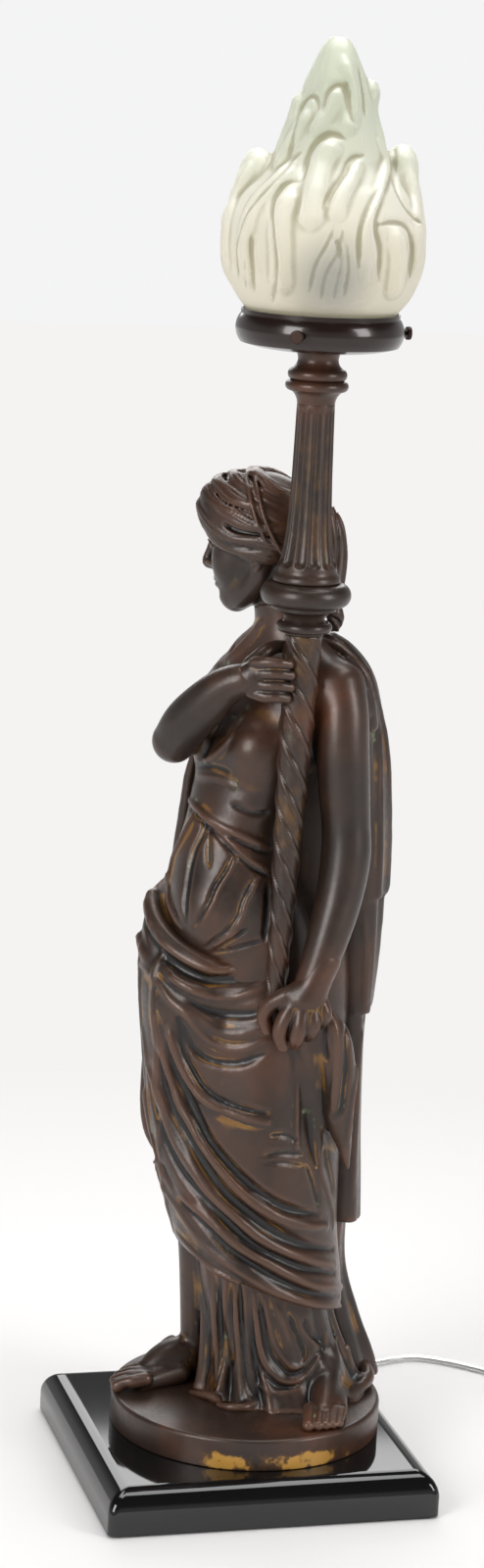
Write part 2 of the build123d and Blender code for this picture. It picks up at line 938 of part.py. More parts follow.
with BuildPart() as screw_holes:
    with Locations(Location(torch + Vector(0, 0, screw_z))):
        with PolarLocations(screw_tip + screw_reach / 2, screw_count):
            Cylinder(screw_shank_radius + screw_clearance, screw_reach, rotation=(0, 90, 0))

with BuildPart() as gallery_ring:
    add(turned(gallery_profile))
    add(screw_holes.part, mode=Mode.SUBTRACT)
keep("gallery_ring", gallery_ring.part)

for index, angle in enumerate(screw_angles):
    with BuildPart() as thumbscrew:
        with BuildSketch(screw_plane(angle)):
            Circle(screw_shank_radius)
        extrude(amount=screw_reach)
        with BuildSketch(screw_plane(angle).offset(screw_reach)):
            Circle(screw_head_radius)
        extrude(amount=screw_head_thickness)
        head_edges = thumbscrew.edges().filter_by(GeomType.CIRCLE)
        fillet(head_edges.sort_by(SortBy.RADIUS)[-2:], screw_head_thickness / 4)
    keep(f"thumbscrew_{index + 1}", thumbscrew.part)

with BuildPart() as lock_nut:
    with BuildSketch(Plane(origin=torch + Vector(0, 0, well_z))):
        RegularPolygon(lock_nut_width / 2, 6, major_radius=False)
        Circle(pipe_radius, mode=Mode.SUBTRACT)
    extrude(amount=lock_nut_height)
keep("lock_nut", lock_nut.part)

# ---------------------------------------------------------------- socket and bulb

socket_z = well_z + lock_nut_height
socket_floor = socket_z + 3.0
insulator_z = socket_floor + 5.0
contact_z = insulator_z + 3.0
shell_z = insulator_z + 2.0
bulb_z = contact_z + running_gap + 1.0


def socket_cap_profile():
    """Pressed cup that screws on to the pipe."""
    Polyline(
        (pipe_radius, socket_z),
        (socket_radius * 0.55, socket_z),
        (socket_radius, socket_z + 7),
        (socket_radius, socket_z + socket_cap_height),
        (socket_radius - socket_wall, socket_z + socket_cap_height),
        (socket_radius - socket_wall, socket_floor + 5),
        (socket_radius * 0.5, socket_floor),
        (pipe_radius, socket_floor),
        (pipe_radius, socket_z),
    )


keep("socket_cap", turned(socket_cap_profile))

shell_top = socket_z + socket_height


def socket_shell_profile():
    """Thin straight sleeve over the cap's mouth."""
    low = socket_z + socket_cap_height
    inner = socket_radius - socket_wall
    Polyline(
        (inner, low),
        (socket_radius, low),
        (socket_radius, shell_top - 1.5),
        (socket_radius + 1.0, shell_top - 1.5),
        (socket_radius + 1.0, shell_top),
        (inner, shell_top),
        (inner, low),
    )


keep("socket_shell", turned(socket_shell_profile))

seat_radius = socket_radius - socket_wall
with BuildPart() as socket_insulator:
    with BuildSketch(Plane(origin=torch + Vector(0, 0, insulator_z))):
        Circle(seat_radius)
    extrude(amount=2.0)
    with BuildSketch(Plane(origin=torch + Vector(0, 0, shell_z))):
        Circle(seat_radius)
        Circle(screw_shell_radius, mode=Mode.SUBTRACT)
    extrude(amount=screw_shell_height)
    with BuildSketch(Plane(origin=torch + Vector(0, 0, insulator_z))):
        Circle(pipe_bore)
    extrude(amount=2.0, mode=Mode.SUBTRACT)
keep("socket_insulator", socket_insulator.part)

with BuildPart() as screw_shell:
    with BuildSketch(Plane(origin=torch + Vector(0, 0, shell_z))):
        Circle(screw_shell_radius)
        Circle(screw_shell_radius - screw_shell_wall, mode=Mode.SUBTRACT)
    extrude(amount=screw_shell_height)
keep("screw_shell", screw_shell.part)

with BuildPart() as centre_contact:
    with BuildSketch(Plane(origin=torch + Vector(0, 0, insulator_z))):
        Circle(pipe_bore)
    extrude(amount=contact_z - insulator_z)
keep("centre_contact", centre_contact.part)

base_top = bulb_z + bulb_base_height


def bulb_base_profile():
    """Screw base of the bulb, with its rounded insulating foot."""
    Polyline((0, bulb_z), (4.6, bulb_z), (10.5, bulb_z + 4.5), (bulb_base_radius, bulb_z + 5.5))
    Polyline(
        (bulb_base_radius, bulb_z + 5.5), (bulb_base_radius, base_top), (0, base_top), (0, bulb_z)
    )


keep("bulb_base", turned(bulb_base_profile))


def bulb_glass_profile():
    """Pear of the bulb's glass: a flaring neck that runs into a globe."""
    centre_z = base_top + bulb_height - bulb_radius
    join = radians(-20)
    join_point = (bulb_radius * cos(join), centre_z + bulb_radius * sin(join))
    Line((0, base_top), (bulb_base_radius, base_top))
    ThreePointArc(
        (bulb_base_radius, base_top),
        (bulb_base_radius + 3.0, base_top + 0.35 * (centre_z - base_top)),
        join_point,
    )
    CenterArc((0, centre_z), bulb_radius, -20, 110)
    Line((0, base_top + bulb_height), (0, base_top))


keep("bulb_glass", turned(bulb_glass_profile))

# ---------------------------------------------------------------- glass flame

shade_z = well_z + shade_lift_room

flame_sections = [
    # share of the height, radius share, ripple, turn in degrees, shift to the viewer's right
    (0.000, 0.726, 0.0, 0, 0.0),
    (0.050, 0.726, 0.0, 0, 0.0),
    (0.095, 0.726, 0.0, 0, 0.0),
    (0.118, 0.740, 0.0, 0, 0.0),
    (0.165, 0.850, 0.6, 2, -0.5),
    (0.220, 0.945, 1.2, 6, -1.0),
    (0.310, 1.000, 1.8, 12, -1.4),
    (0.420, 0.975, 2.6, 18, -0.6),
    (0.520, 0.890, 4.0, 26, 1.0),
    (0.590, 0.770, 5.5, 34, 1.2),
    (0.650, 0.610, 5.0, 44, 1.5),
    (0.720, 0.470, 3.6, 58, 3.0),
    (0.800, 0.370, 2.8, 74, 4.5),
    (0.880, 0.235, 1.6, 90, 3.0),
    (0.950, 0.120, 0.7, 102, 2.6),
    (1.000, 0.035, 0.0, 110, 2.6),
]
points_per_tongue = 4


def flame_outline(radius, ripple, spin):
    """Closed outline with one soft lobe for each tongue."""
    outline = []
    for step in range(flame_tongues * points_per_tongue):
        turn = 2 * pi * step / (flame_tongues * points_per_tongue)
        reach = radius + ripple * cos(flame_tongues * (turn - radians(spin)))
        outline.append((reach * cos(turn), reach * sin(turn)))
    return outline


with BuildPart() as flame_solid:
    for share, width, ripple, spin, shift in flame_sections:
        level = shade_z + shade_height * share
        centre = at(torch_u + shift, torch_v, level)
        with BuildSketch(Plane(origin=centre)):
            with BuildLine():
                Spline(*flame_outline(shade_radius * width, ripple, spin), periodic=True)
            make_face()
    loft()

with BuildPart() as flame_hollow:
    for share, width, ripple, spin, shift in flame_sections[:-3]:
        level = shade_z + shade_height * share
        centre = at(torch_u + shift, torch_v, level)
        with BuildSketch(Plane(origin=centre)):
            Circle(shade_radius * width - ripple - glass_wall)
    loft()

with BuildPart() as flame_shade:
    add(flame_solid.part)
    add(flame_hollow.part, mode=Mode.SUBTRACT)
    with BuildSketch(Plane(origin=torch + Vector(0, 0, shade_z))):
        Circle(neck_radius + neck_bead)
        Circle(neck_radius - glass_wall, mode=Mode.SUBTRACT)
    extrude(amount=neck_lip_height)
keep("flame_shade", largest(flame_shade))

# ---------------------------------------------------------------- strain relief and inner lead

with BuildPart() as strain_relief:
    with BuildSketch(Plane(origin=(exit_x, slab_side / 2 - relief_seat, exit_z), z_dir=(0, 1, 0))):
        Circle(relief_radius)
    extrude(amount=relief_seat)
    with BuildSketch(Plane(origin=(exit_x, slab_side / 2, exit_z), z_dir=(0, 1, 0))):
        Circle(relief_radius)
    with BuildSketch(
        Plane(origin=(exit_x, slab_side / 2 + relief_length, exit_z), z_dir=(0, 1, 0))
    ):
        Circle(relief_tip_radius)
    loft()
    with Locations(Location((exit_x, slab_side / 2, exit_z), (90, 0, 0))):
        Cylinder(cord_diameter / 2, 4 * relief_length, mode=Mode.SUBTRACT)
keep("strain_relief", strain_relief.part)

lead_radius = cord_diameter / 2 - 0.1
lead_end = slab_side / 2
lead_bends = [6.5, 12.0]

with BuildPart() as inner_lead:
    with BuildLine() as lead_path:
        FilletPolyline(
            (0, 0, slab_top + nipple_reach),
            (0, 0, exit_z),
            (exit_x, 0, exit_z),
            (exit_x, lead_end, exit_z),
            radius=lead_bends,
        )
    with BuildSketch(Plane(origin=(0, 0, slab_top + nipple_reach), z_dir=(0, 0, -1))):
        Circle(lead_radius)
    sweep()
keep("inner_lead", inner_lead.part)

# ---------------------------------------------------------------- cord on the table

# The route's points, chosen by eye: from the strain relief to the switch
free_route = [
    (50, 116, 8.0),
    (50, 147, 8.0),
    (56.5, 165.5, 4.8),
    (73.5, 177, 2.7),
    (95, 175, 2.7),
    (111, 166.5, 2.7),
    (128, 160.5, 2.7),
    (147, 160, 2.7),
    (168, 168.5, 2.7),
    (188, 171, 2.7),
    (207, 160.5, 2.7),
    (222, 147, 2.7),
    (235, 134, 2.7),
    (245, 122, 4.6),
    (250, 109, 7.5),
    (250, 95, 7.5),
]
# From the switch to the coil, and from the coil to the plug
middle_route = [(250, 49, 7.5), (250, 38, 7.5), (250.5, 26, 4.3), (250, 14, 2.7), (250, 4, 2.7)]
tail_route = [(255.5, -6, 8.2), (255.5, -18, 8.2), (252.5, -31, 8.2), (246, -43, 8.2)]


def cord_tube(name, route):
    """A stretch of cord: straight runs joined by arcs as large as the runs allow."""
    points = [Vector(*point) for point in route]
    radii = []
    for before, here, after in zip(points, points[1:], points[2:]):
        turn = radians((here - before).get_angle(after - here))
        shorter = min((here - before).length, (after - here).length)
        radii.append(0.45 * shorter / tan(turn / 2))
    with BuildPart() as tube:
        with BuildLine() as path:
            FilletPolyline(*points, radius=radii)
        with BuildSketch(Plane(origin=points[0], z_dir=points[1] - points[0])):
            Circle(cord_diameter / 2)
        sweep()
    length = sum(edge.length for edge in path.edges())
    expected = length * pi * cord_diameter**2 / 4
    print(name, "length", round(length, 1), "volume share", round(tube.part.volume / expected, 4))
    print(name, "radii", [round(radius, 1) for radius in radii])
    keep(name, tube.part)


cord_tube("cord_free", free_route)
cord_tube("cord_middle", middle_route)
cord_tube("cord_tail", tail_route)

coil_radius = coil_middle_radius + coil_pitch * coil_layer_half_turns / 4
coil_low_z = middle_route[-1][2]
coil_high_z = coil_low_z + coil_pitch


def half_turn(left_x, right_x, level, upper):
    """Half a turn of the coil, between a point on its left side and one on its right."""
    middle = ((left_x + right_x) / 2, coil_y, level)
    CenterArc(middle, (right_x - left_x) / 2, 0 if upper else 180, 180)


def quarter(start, inward, forward, radius):
    """A quarter turn that leaves along forward and bends towards inward."""
    bend = radians(45)
    middle = start + forward * (radius * sin(bend)) + inward * (radius * (1 - cos(bend)))
    end = start + (forward + inward) * radius
    ThreePointArc(start, middle, end)
    return end


with BuildPart() as cord_coil:
    with BuildLine() as coil_path:
        left = coil_start_x
        right = left + 2 * coil_radius
        Line((left, coil_y + cord_diameter, coil_low_z), (left, coil_y, coil_low_z))
        for index in range(coil_layer_half_turns):
            half_turn(left, right, coil_low_z, upper=index % 2 == 1)
            if index % 2 == 0 and index < coil_layer_half_turns - 1:
                left += coil_pitch
            elif index % 2 == 1:
                right -= coil_pitch
        # The climb to the second layer, in two quarter turns of tilted planes
        climb_left = left + coil_pitch
        half_span = (right - climb_left) / 2
        climb_radius = sqrt(half_span**2 + (coil_pitch / 2) ** 2)
        tilted_in = Vector(-half_span, 0, coil_pitch / 2) / climb_radius
        along_y = Vector(0, 1, 0)
        top = quarter(Vector(right, coil_y, coil_low_z), tilted_in, along_y, climb_radius)
        quarter(top, along_y * -1, tilted_in, climb_radius)
        left = climb_left
        for index in range(coil_layer_half_turns - 1):
            if index % 2 == 0:
                right += coil_pitch
            else:
                left -= coil_pitch
            half_turn(left, right, coil_high_z, upper=index % 2 == 1)
        Line((left, coil_y, coil_high_z), (left, coil_y - cord_diameter, coil_high_z))
    coil_start = Vector(coil_start_x, coil_y + cord_diameter, coil_low_z)
    with BuildSketch(Plane(origin=coil_start, z_dir=(0, -1, 0))):
        Circle(cord_diameter / 2)
    sweep()

coil_length = sum(edge.length for edge in coil_path.edges())
coil_share = cord_coil.part.volume / (coil_length * pi * cord_diameter**2 / 4)
print("cord_coil length", round(coil_length, 1), "volume share", round(coil_share, 4))
coil_step = 3.0
coil_samples = []
walked = 0.0
for edge in coil_path.edges():
    pieces = max(1, round(edge.length / coil_step))
    for index in range(pieces):
        coil_samples.append((walked + edge.length * index / pieces, edge @ (index / pieces)))
    walked += edge.length
least_gap = min(
    (one - other).length
    for first, (place, one) in enumerate(coil_samples)
    for later, other in coil_samples[first + 1 :]
    if later - place > 4 * cord_diameter
)
print("cord_coil least gap to itself", round(least_gap - cord_diameter, 2))
keep("cord_coil", cord_coil.part)

# ---------------------------------------------------------------- in-line switch

switch_z = free_route[-1][2]
wheel_x = coil_start_x + switch_width / 2 + wheel_proud - wheel_radius
wheel_pin_radius = 1.5
wheel_pin_clearance = 0.06
switch_place = (coil_start_x, switch_y, switch_z)
wheel_place = (wheel_x, switch_y, switch_z)

with BuildPart() as switch_body:
    with Locations(switch_place):
        Box(switch_width, switch_length, switch_height)
    fillet(switch_body.edges().filter_by(Axis.Z), 6.0)
    fillet(switch_body.edges().group_by(Axis.Z)[-1], 2.0)
    fillet(switch_body.edges().group_by(Axis.Z)[0], 1.0)
    with Locations(wheel_place):
        Cylinder(
            wheel_radius + running_gap, wheel_thickness + 2 * running_gap, mode=Mode.SUBTRACT
        )
        Cylinder(wheel_pin_radius, wheel_thickness + 4 * running_gap)
keep("switch_body", switch_body.part)

wheel_notches = 18
with BuildPart() as switch_wheel:
    with Locations(wheel_place):
        Cylinder(wheel_radius, wheel_thickness)
        with PolarLocations(wheel_radius + 0.4, wheel_notches):
            Cylinder(0.9, wheel_thickness, mode=Mode.SUBTRACT)
        Cylinder(wheel_pin_radius + wheel_pin_clearance, wheel_thickness, mode=Mode.SUBTRACT)
keep("switch_wheel", switch_wheel.part)

# ---------------------------------------------------------------- plug

tail_end = Vector(*tail_route[-1])
plug_along = (tail_end - Vector(*tail_route[-2])).normalized()
plug_plane = Plane(origin=tail_end, x_dir=plug_along.cross(Vector(0, 0, 1)), z_dir=plug_along)
plug_grip = 14.0

with BuildPart() as plug_body:
    with BuildSketch(plug_plane):
        RectangleRounded(cord_diameter + 3, cord_diameter + 3, 3.5)
    with BuildSketch(plug_plane.offset(plug_grip)):
        RectangleRounded(plug_width * 0.72, plug_height * 0.7, 5.0)
    loft(ruled=True)
    with BuildSketch(plug_plane.offset(plug_grip)):
        RectangleRounded(plug_width, plug_height, 5.0)
    extrude(amount=plug_length - plug_grip)
keep("plug_body", plug_body.part)

with BuildPart() as plug_blades:
    with BuildSketch(plug_plane.offset(plug_length)):
        with GridLocations(blade_spacing, 0, 2, 1):
            RectangleRounded(blade_thickness, blade_width, blade_thickness / 3)
    extrude(amount=blade_length)
keep("plug_blades", plug_blades.part)
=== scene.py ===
"""Table lamp: a draped bronze figure on a black slab holds up a torch with a glass flame.

Metres, in the CAD part's frame. The figure is modelled as clay: a distance field in the
figure's own frame (u to the viewer's right, v away from the viewer, z up, in millimetres).
"""

import math

import bpy
import numpy as np
import openvdb
from mathutils import Matrix, Vector


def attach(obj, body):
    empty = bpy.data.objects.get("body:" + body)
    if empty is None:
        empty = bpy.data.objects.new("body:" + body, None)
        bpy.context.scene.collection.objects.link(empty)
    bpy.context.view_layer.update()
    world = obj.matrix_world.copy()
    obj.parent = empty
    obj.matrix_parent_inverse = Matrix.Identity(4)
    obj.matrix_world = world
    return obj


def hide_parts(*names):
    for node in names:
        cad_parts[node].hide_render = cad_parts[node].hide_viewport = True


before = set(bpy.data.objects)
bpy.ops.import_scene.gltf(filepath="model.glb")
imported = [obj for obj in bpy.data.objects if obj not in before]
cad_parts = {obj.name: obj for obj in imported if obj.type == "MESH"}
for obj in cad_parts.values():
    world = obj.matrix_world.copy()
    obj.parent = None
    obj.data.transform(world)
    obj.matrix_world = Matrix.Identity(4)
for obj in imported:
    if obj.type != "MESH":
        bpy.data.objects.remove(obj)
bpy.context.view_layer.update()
MM = 0.001

# ---------------------------------------------------------------- camera

EYE = Vector((-0.64602, -2.28788, 0.99835))
LOOK = Vector((0.258637, 0.942911, -0.209823))
RIGHT = Vector((0.965952, -0.253946, 0.049484))
UP = Vector((0.006625, 0.215477, 0.976486))
LENS, SENSOR = 82.53, 36  # in mm

camera_data = bpy.data.cameras.new("camera")
camera_data.sensor_fit = "AUTO"
camera_data.sensor_width = SENSOR
camera_data.lens = LENS
camera_data.clip_start = 0.1
camera_data.clip_end = 30
camera = bpy.data.objects.new("camera", camera_data)
bpy.context.collection.objects.link(camera)
basis = Matrix((RIGHT, UP, -LOOK)).transposed().to_4x4()
camera.matrix_world = Matrix.Translation(EYE) @ basis
bpy.context.scene.camera = camera

# ---------------------------------------------------------------- frames and small helpers

FIGURE_TURN = math.radians(-15.8)
FIGURE_U = np.array((math.cos(FIGURE_TURN), math.sin(FIGURE_TURN), 0))
FIGURE_V = np.array((-math.sin(FIGURE_TURN), math.cos(FIGURE_TURN), 0))
# The viewer's eye and the torch's axis in the figure's frame, in mm
EYE_V, EYE_Z = -2377.0, 998.0
TORCH = (18.3, -3.7)
PLINTH_TOP = 53.0
CLOTH_FOOT = PLINTH_TOP - 0.6  # cloth and feet stand a little into the plinth
POINTS_A_SPAN = 8


def to_row(points):
    """Points (u, v, z) in mm in the figure's frame, as metres in the row frame."""
    points = np.asarray(points, float)
    row = points[:, :1] * FIGURE_U + points[:, 1:2] * FIGURE_V
    row[:, 2] = points[:, 2]
    return row * MM


def new_mesh(name, points, faces, smooth=True):
    """A mesh object from points in metres and its faces."""
    mesh = bpy.data.meshes.new(name)
    mesh.from_pydata([tuple(p) for p in points], [], [tuple(f) for f in faces])
    mesh.polygons.foreach_set("use_smooth", [smooth] * len(mesh.polygons))
    mesh.update()
    piece = bpy.data.objects.new(name, mesh)
    bpy.context.collection.objects.link(piece)
    return piece


def place_piece(made, body, slot, *nodes):
    """Says which body a piece rides and the CAD nodes that it replaces; slot is not used."""
    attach(made, body)
    if nodes:
        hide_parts(*nodes)


def along_line(points, step):
    """A smooth line through control points, as points about step apart."""
    line = np.asarray(points, float)
    if len(line) > 2:
        padded = np.vstack((2 * line[0] - line[1], line, 2 * line[-1] - line[-2]))
        smooth = []
        for p0, p1, p2, p3 in zip(padded, padded[1:], padded[2:], padded[3:]):
            for t in np.linspace(0, 1, POINTS_A_SPAN + 1)[:-1]:
                square, cube = 2 * p0 - 5 * p1 + 4 * p2 - p3, 3 * p1 - p0 - 3 * p2 + p3
                smooth.append(0.5 * (2 * p1 + (p2 - p0) * t + square * t**2 + cube * t**3))
        line = np.array(smooth + [line[-1]])
    gaps = np.linalg.norm(np.diff(line[:, :3], axis=0), axis=1)
    walked = np.concatenate(((0,), np.cumsum(gaps)))
    wanted = np.linspace(0, walked[-1], max(2, int(walked[-1] / step) + 1))
    return np.column_stack([np.interp(wanted, walked, column) for column in line.T])


def smoothed(points, times):
    """Points of a line, each drawn towards its neighbours."""
    points = points.copy()
    for _ in range(times):
        points[1:-1] = 0.25 * points[:-2] + 0.5 * points[1:-1] + 0.25 * points[2:]
    return points


# ---------------------------------------------------------------- clay

FAR = 20.0  # what the field says well away from any shape, in mm
RAY_STEP = 0.7
SEEN_DEPTHS = (-80, 112)  # where a line of sight is looked along, in v
ROUND_REACH = (120, 4)  # and a ray towards an upright line, from it
DRAWN_STEP = 2.5
TAPER = 0.18  # the share of a stroke's length that each end thins over
THINNEST = 0.35
LEAP = 14  # a drawn line that jumps further than this has left the surface
# How hollow a place is: the field averaged over a small cube, for broad and for fine hollows
RELIEF_SIZES = {"hollow": 9.0, "crease": 4.5}
RELIEF_DEPTH = 6  # the field counts no further from the surface than this


class Clay:
    """Modelling clay: a distance field on a grid, negative inside, in the figure's frame in mm."""

    def __init__(self, low, high, step):
        self.low, self.step = np.array(low, float), step
        counts = np.ceil((np.array(high, float) - self.low) / step).astype(int) + 1
        self.field = np.full(counts, FAR, np.float32)

    def window(self, low, high):
        """The part of the grid in a box, as slices and as its three coordinates."""
        first = np.floor((np.array(low) - self.low) / self.step).astype(int)
        last = np.ceil((np.array(high) - self.low) / self.step).astype(int) + 1
        first, last = (np.clip(ends, 0, self.field.shape) for ends in (first, last))
        axes = [
            (start + self.step * np.arange(a, b)).astype(np.float32)
            for start, a, b in zip(self.low, first, last)
        ]
        return tuple(map(slice, first, last)), np.meshgrid(*axes, indexing="ij", sparse=True)

    def whole(self):
        """The whole grid, as a window."""
        return self.window(self.low, self.low + self.step * np.array(self.field.shape))

    def join(self, slices, shape, soft, cut=False):
        """Adds a shape, or takes it away, with a corner rounded over about soft mm."""
        old, sign = self.field[slices], -1 if cut else 1
        shape = sign * shape
        blend = np.clip(0.5 + sign * 0.5 * (old - shape) / soft, 0, 1)
        self.field[slices] = old + (shape - old) * blend - sign * soft * blend * (1 - blend)

    def chain_shape(self, points, margin):
        """Distance to a chain of tapering capsules, points (u, v, z, radius)."""
        points = np.asarray(points, float)
        reach = points[:, 3].max() + margin
        slices, _ = self.window((points[:, :3] - reach).min(0), (points[:, :3] + reach).max(0))
        offset = np.array([s.start for s in slices])
        shape = np.full([s.stop - s.start for s in slices], FAR, np.float32)
        for start, end in zip(points[:-1], points[1:]):
            room = max(start[3], end[3]) + margin
            low, high = np.minimum(start, end)[:3] - room, np.maximum(start, end)[:3] + room
            part, (u, v, z) = self.window(low, high)
            if min(s.stop - s.start for s in part) <= 0:
                continue
            along = end[:3] - start[:3]
            du, dv, dz = u - start[0], v - start[1], z - start[2]
            square = max(float(along @ along), 1e-6)
            t = np.clip((du * along[0] + dv * along[1] + dz * along[2]) / square, 0, 1)
            gaps = du - t * along[0], dv - t * along[1], dz - t * along[2]
            far = np.sqrt(gaps[0] ** 2 + gaps[1] ** 2 + gaps[2] ** 2)
            far -= start[3] + (end[3] - start[3]) * t
            local = tuple(slice(s.start - o, s.stop - o) for s, o in zip(part, offset))
            np.minimum(shape[local], far, out=shape[local])
        return slices, shape

    def chain(self, points, soft=3.0, cut=False, step=3.0):
        """Adds or cuts a smooth tapering rod through points (u, v, z, radius)."""
        slices, shape = self.chain_shape(along_line(points, step), soft + 2 * self.step)
        self.join(slices, shape, soft, cut)

    def blob(self, centre, radii, turn=0.0, lean=0.0, soft=4.0, cut=False):
        """Adds or cuts an ellipsoid, turned about z and then leant about its own depth axis."""
        reach = max(radii) + soft + 2 * self.step
        centre = np.array(centre, float)
        slices, (u, v, z) = self.window(centre - reach, centre + reach)
        du, dv, dz = u - centre[0], v - centre[1], z - centre[2]
        c, s = math.cos(math.radians(turn)), math.sin(math.radians(turn))
        x, y = du * c + dv * s, dv * c - du * s
        c, s = math.cos(math.radians(lean)), math.sin(math.radians(lean))
        x, w = x * c + dz * s, dz * c - x * s
        ratio = np.sqrt((x / radii[0]) ** 2 + (y / radii[1]) ** 2 + (w / radii[2]) ** 2)
        self.join(slices, ((ratio - 1) * min(radii)).astype(np.float32), soft, cut)

    def stack(self, sections, soft=4.0, ripple=None):
        """Adds a body of stacked ellipses (z, u, v, half width, half depth, turn)."""
        table = along_line(sections, 2.0)
        table = table[np.argsort(table[:, 0])]
        widest = table[:, 3:5].max() + soft + 3 * self.step
        low, high = table[:, :3].min(0), table[:, :3].max(0)
        slices, (u, v, z) = self.window(
            (low[1] - widest, low[2] - widest, low[0] - soft - 3),
            (high[1] + widest, high[2] + widest, high[0] + soft + 3),
        )
        cu, cv, wide, deep, turn = (np.interp(z, table[:, 0], table[:, k]) for k in range(1, 6))
        c, s = np.cos(np.radians(turn)), np.sin(np.radians(turn))
        x, y = (u - cu) * c + (v - cv) * s, (v - cv) * c - (u - cu) * s
        if ripple is not None:
            wave = ripple(np.degrees(np.arctan2(v - cv, u - cu)), z)
            wide, deep = wide + wave, deep + wave
        shape = (np.sqrt((x / wide) ** 2 + (y / deep) ** 2) - 1) * np.minimum(wide, deep)
        shape = np.maximum(shape, np.maximum(low[0] - z, z - high[0]))
        self.join(slices, shape.astype(np.float32), soft)

    def trim(self, point, normal, soft=2.0):
        """Cuts away the half space that the normal points into."""
        slices, (u, v, z) = self.whole()
        n = np.array(normal, float) / np.linalg.norm(normal)
        side = (u - point[0]) * n[0] + (v - point[1]) * n[1] + (z - point[2]) * n[2]
        self.join(slices, (-side).astype(np.float32), soft, cut=True)

    def value(self, points, field=None):
        """The clay's field, or another one on its grid, blended between grid points."""
        field = self.field if field is None else field
        places = (np.asarray(points, float) - self.low) / self.step
        places = np.clip(places, 0, np.array(self.field.shape) - 1.001)
        base = places.astype(int)
        part = places - base
        total = 0
        for corner in np.ndindex(2, 2, 2):
            weight = np.abs(1 - np.array(corner) - part)
            near = base + corner
            total = total + weight[:, 0] * weight[:, 1] * weight[:, 2] * field[tuple(near.T)]
        return total

    def normals(self, points):
        """Outward directions of the surface at points."""
        points = np.asarray(points, float)
        gap = self.step * 1.5
        slope = np.column_stack(
            [self.value(points + gap * e) - self.value(points - gap * e) for e in np.eye(3)]
        )
        return slope / np.maximum(np.linalg.norm(slope, axis=1, keepdims=True), 1e-6)

    def met(self, rays):
        """The first place inside the clay on each ray of points, or the nearest to it."""
        found = []
        for ray in rays:
            inside = self.value(ray)
            found.append(ray[np.argmax(inside < 0) if (inside < 0).any() else np.argmin(inside)])
        return np.array(found)

    def seen(self, line):
        """Surface points that the viewer sees at (u, z) on the plane v = 0."""
        depths = np.arange(*SEEN_DEPTHS, RAY_STEP)
        t = 1 + depths / -EYE_V
        return self.met(np.column_stack((u * t, depths, EYE_Z - (EYE_Z - z) * t)) for u, z in line)

    def round(self, line, centre=(0, 25)):
        """Surface points at (angle, z) about an upright line, met from outside."""
        reach = np.arange(*ROUND_REACH, -RAY_STEP)
        rays = []
        for angle, z in line:
            c, s = math.cos(math.radians(angle)), math.sin(math.radians(angle))
            rays.append((centre[0] + reach * c, centre[1] + reach * s, np.full(len(reach), z)))
        return self.met(np.column_stack(ray) for ray in rays)

    def stroke(self, line, width, sink=0.4, soft=2.0, cut=False, side="seen", taper=(0.3, 0.3),
               **how):
        """A ridge, or a groove, laid on the surface along a drawn line."""
        drawn = along_line(line, DRAWN_STEP)
        places = self.seen(drawn) if side == "seen" else self.round(drawn, **how)
        places = places[np.abs(self.value(places)) < 1.5 * self.step]
        if len(places) < 4:
            return
        leaps = np.linalg.norm(np.diff(places, axis=0), axis=1) > LEAP
        places = smoothed(max(np.split(places, np.flatnonzero(leaps) + 1), key=len), 2)
        share = np.linspace(0, 1, len(places))
        ends = np.minimum(share / TAPER + taper[0], (1 - share) / TAPER + taper[1])
        radius = np.maximum(width * np.minimum(1, ends), THINNEST)
        shift = (radius * (1 - sink) if cut else -radius * sink)[:, None]
        chain = np.column_stack((places + self.normals(places) * shift, radius))
        slices, shape = self.chain_shape(chain, soft + 2 * self.step)
        self.join(slices, shape, soft, cut)

    def strokes(self, drawings, swell=1.0, **how):
        """Strokes that share their settings, each a line and its width, swelled alike."""
        for line, width in drawings:
            self.stroke(line, swell * width, **how)

    def blurred(self, field, size):
        """A field averaged over a cube of about size mm."""
        reach = max(1, int(round(size / self.step / 2)))
        field = np.clip(field.astype(np.float64), -RELIEF_DEPTH, RELIEF_DEPTH)
        for axis in range(3):
            pad = [(0, 0)] * 3
            pad[axis] = (reach + 1, reach)
            total = np.cumsum(np.pad(field, pad, mode="edge"), axis=axis)
            count = field.shape[axis]
            high = np.take(total, range(2 * reach + 1, 2 * reach + 1 + count), axis=axis)
            low = np.take(total, range(0, count), axis=axis)
            field = (high - low) / (2 * reach + 1)
        return field.astype(np.float32)

    def piece(self, name, body=None):
        """The clay's surface as a mesh, with how hollow each place of its skin (or body's) is."""
        grid = openvdb.FloatGrid(FAR)
        grid.copyFromArray(np.ascontiguousarray(self.field))
        points, triangles, quads = grid.convertToPolygons(isovalue=0.0, adaptivity=0.0)
        places = points * self.step + self.low
        faces = [tuple(f[::-1]) for f in triangles.tolist() + quads.tolist()]
        made = new_mesh(name, to_row(places), faces)
        body = self.field if body is None else body
        skin = self.value(places, body) > -self.step
        for label, size in RELIEF_SIZES.items():
            values = np.where(skin, self.value(places, self.blurred(body, size)), 0)
            layer = made.data.attributes.new(label, "FLOAT", "POINT")
            layer.data.foreach_set("value", (-values / (size * 0.25)).astype(np.float32))
        return made


# ---------------------------------------------------------------- mantle round the hips


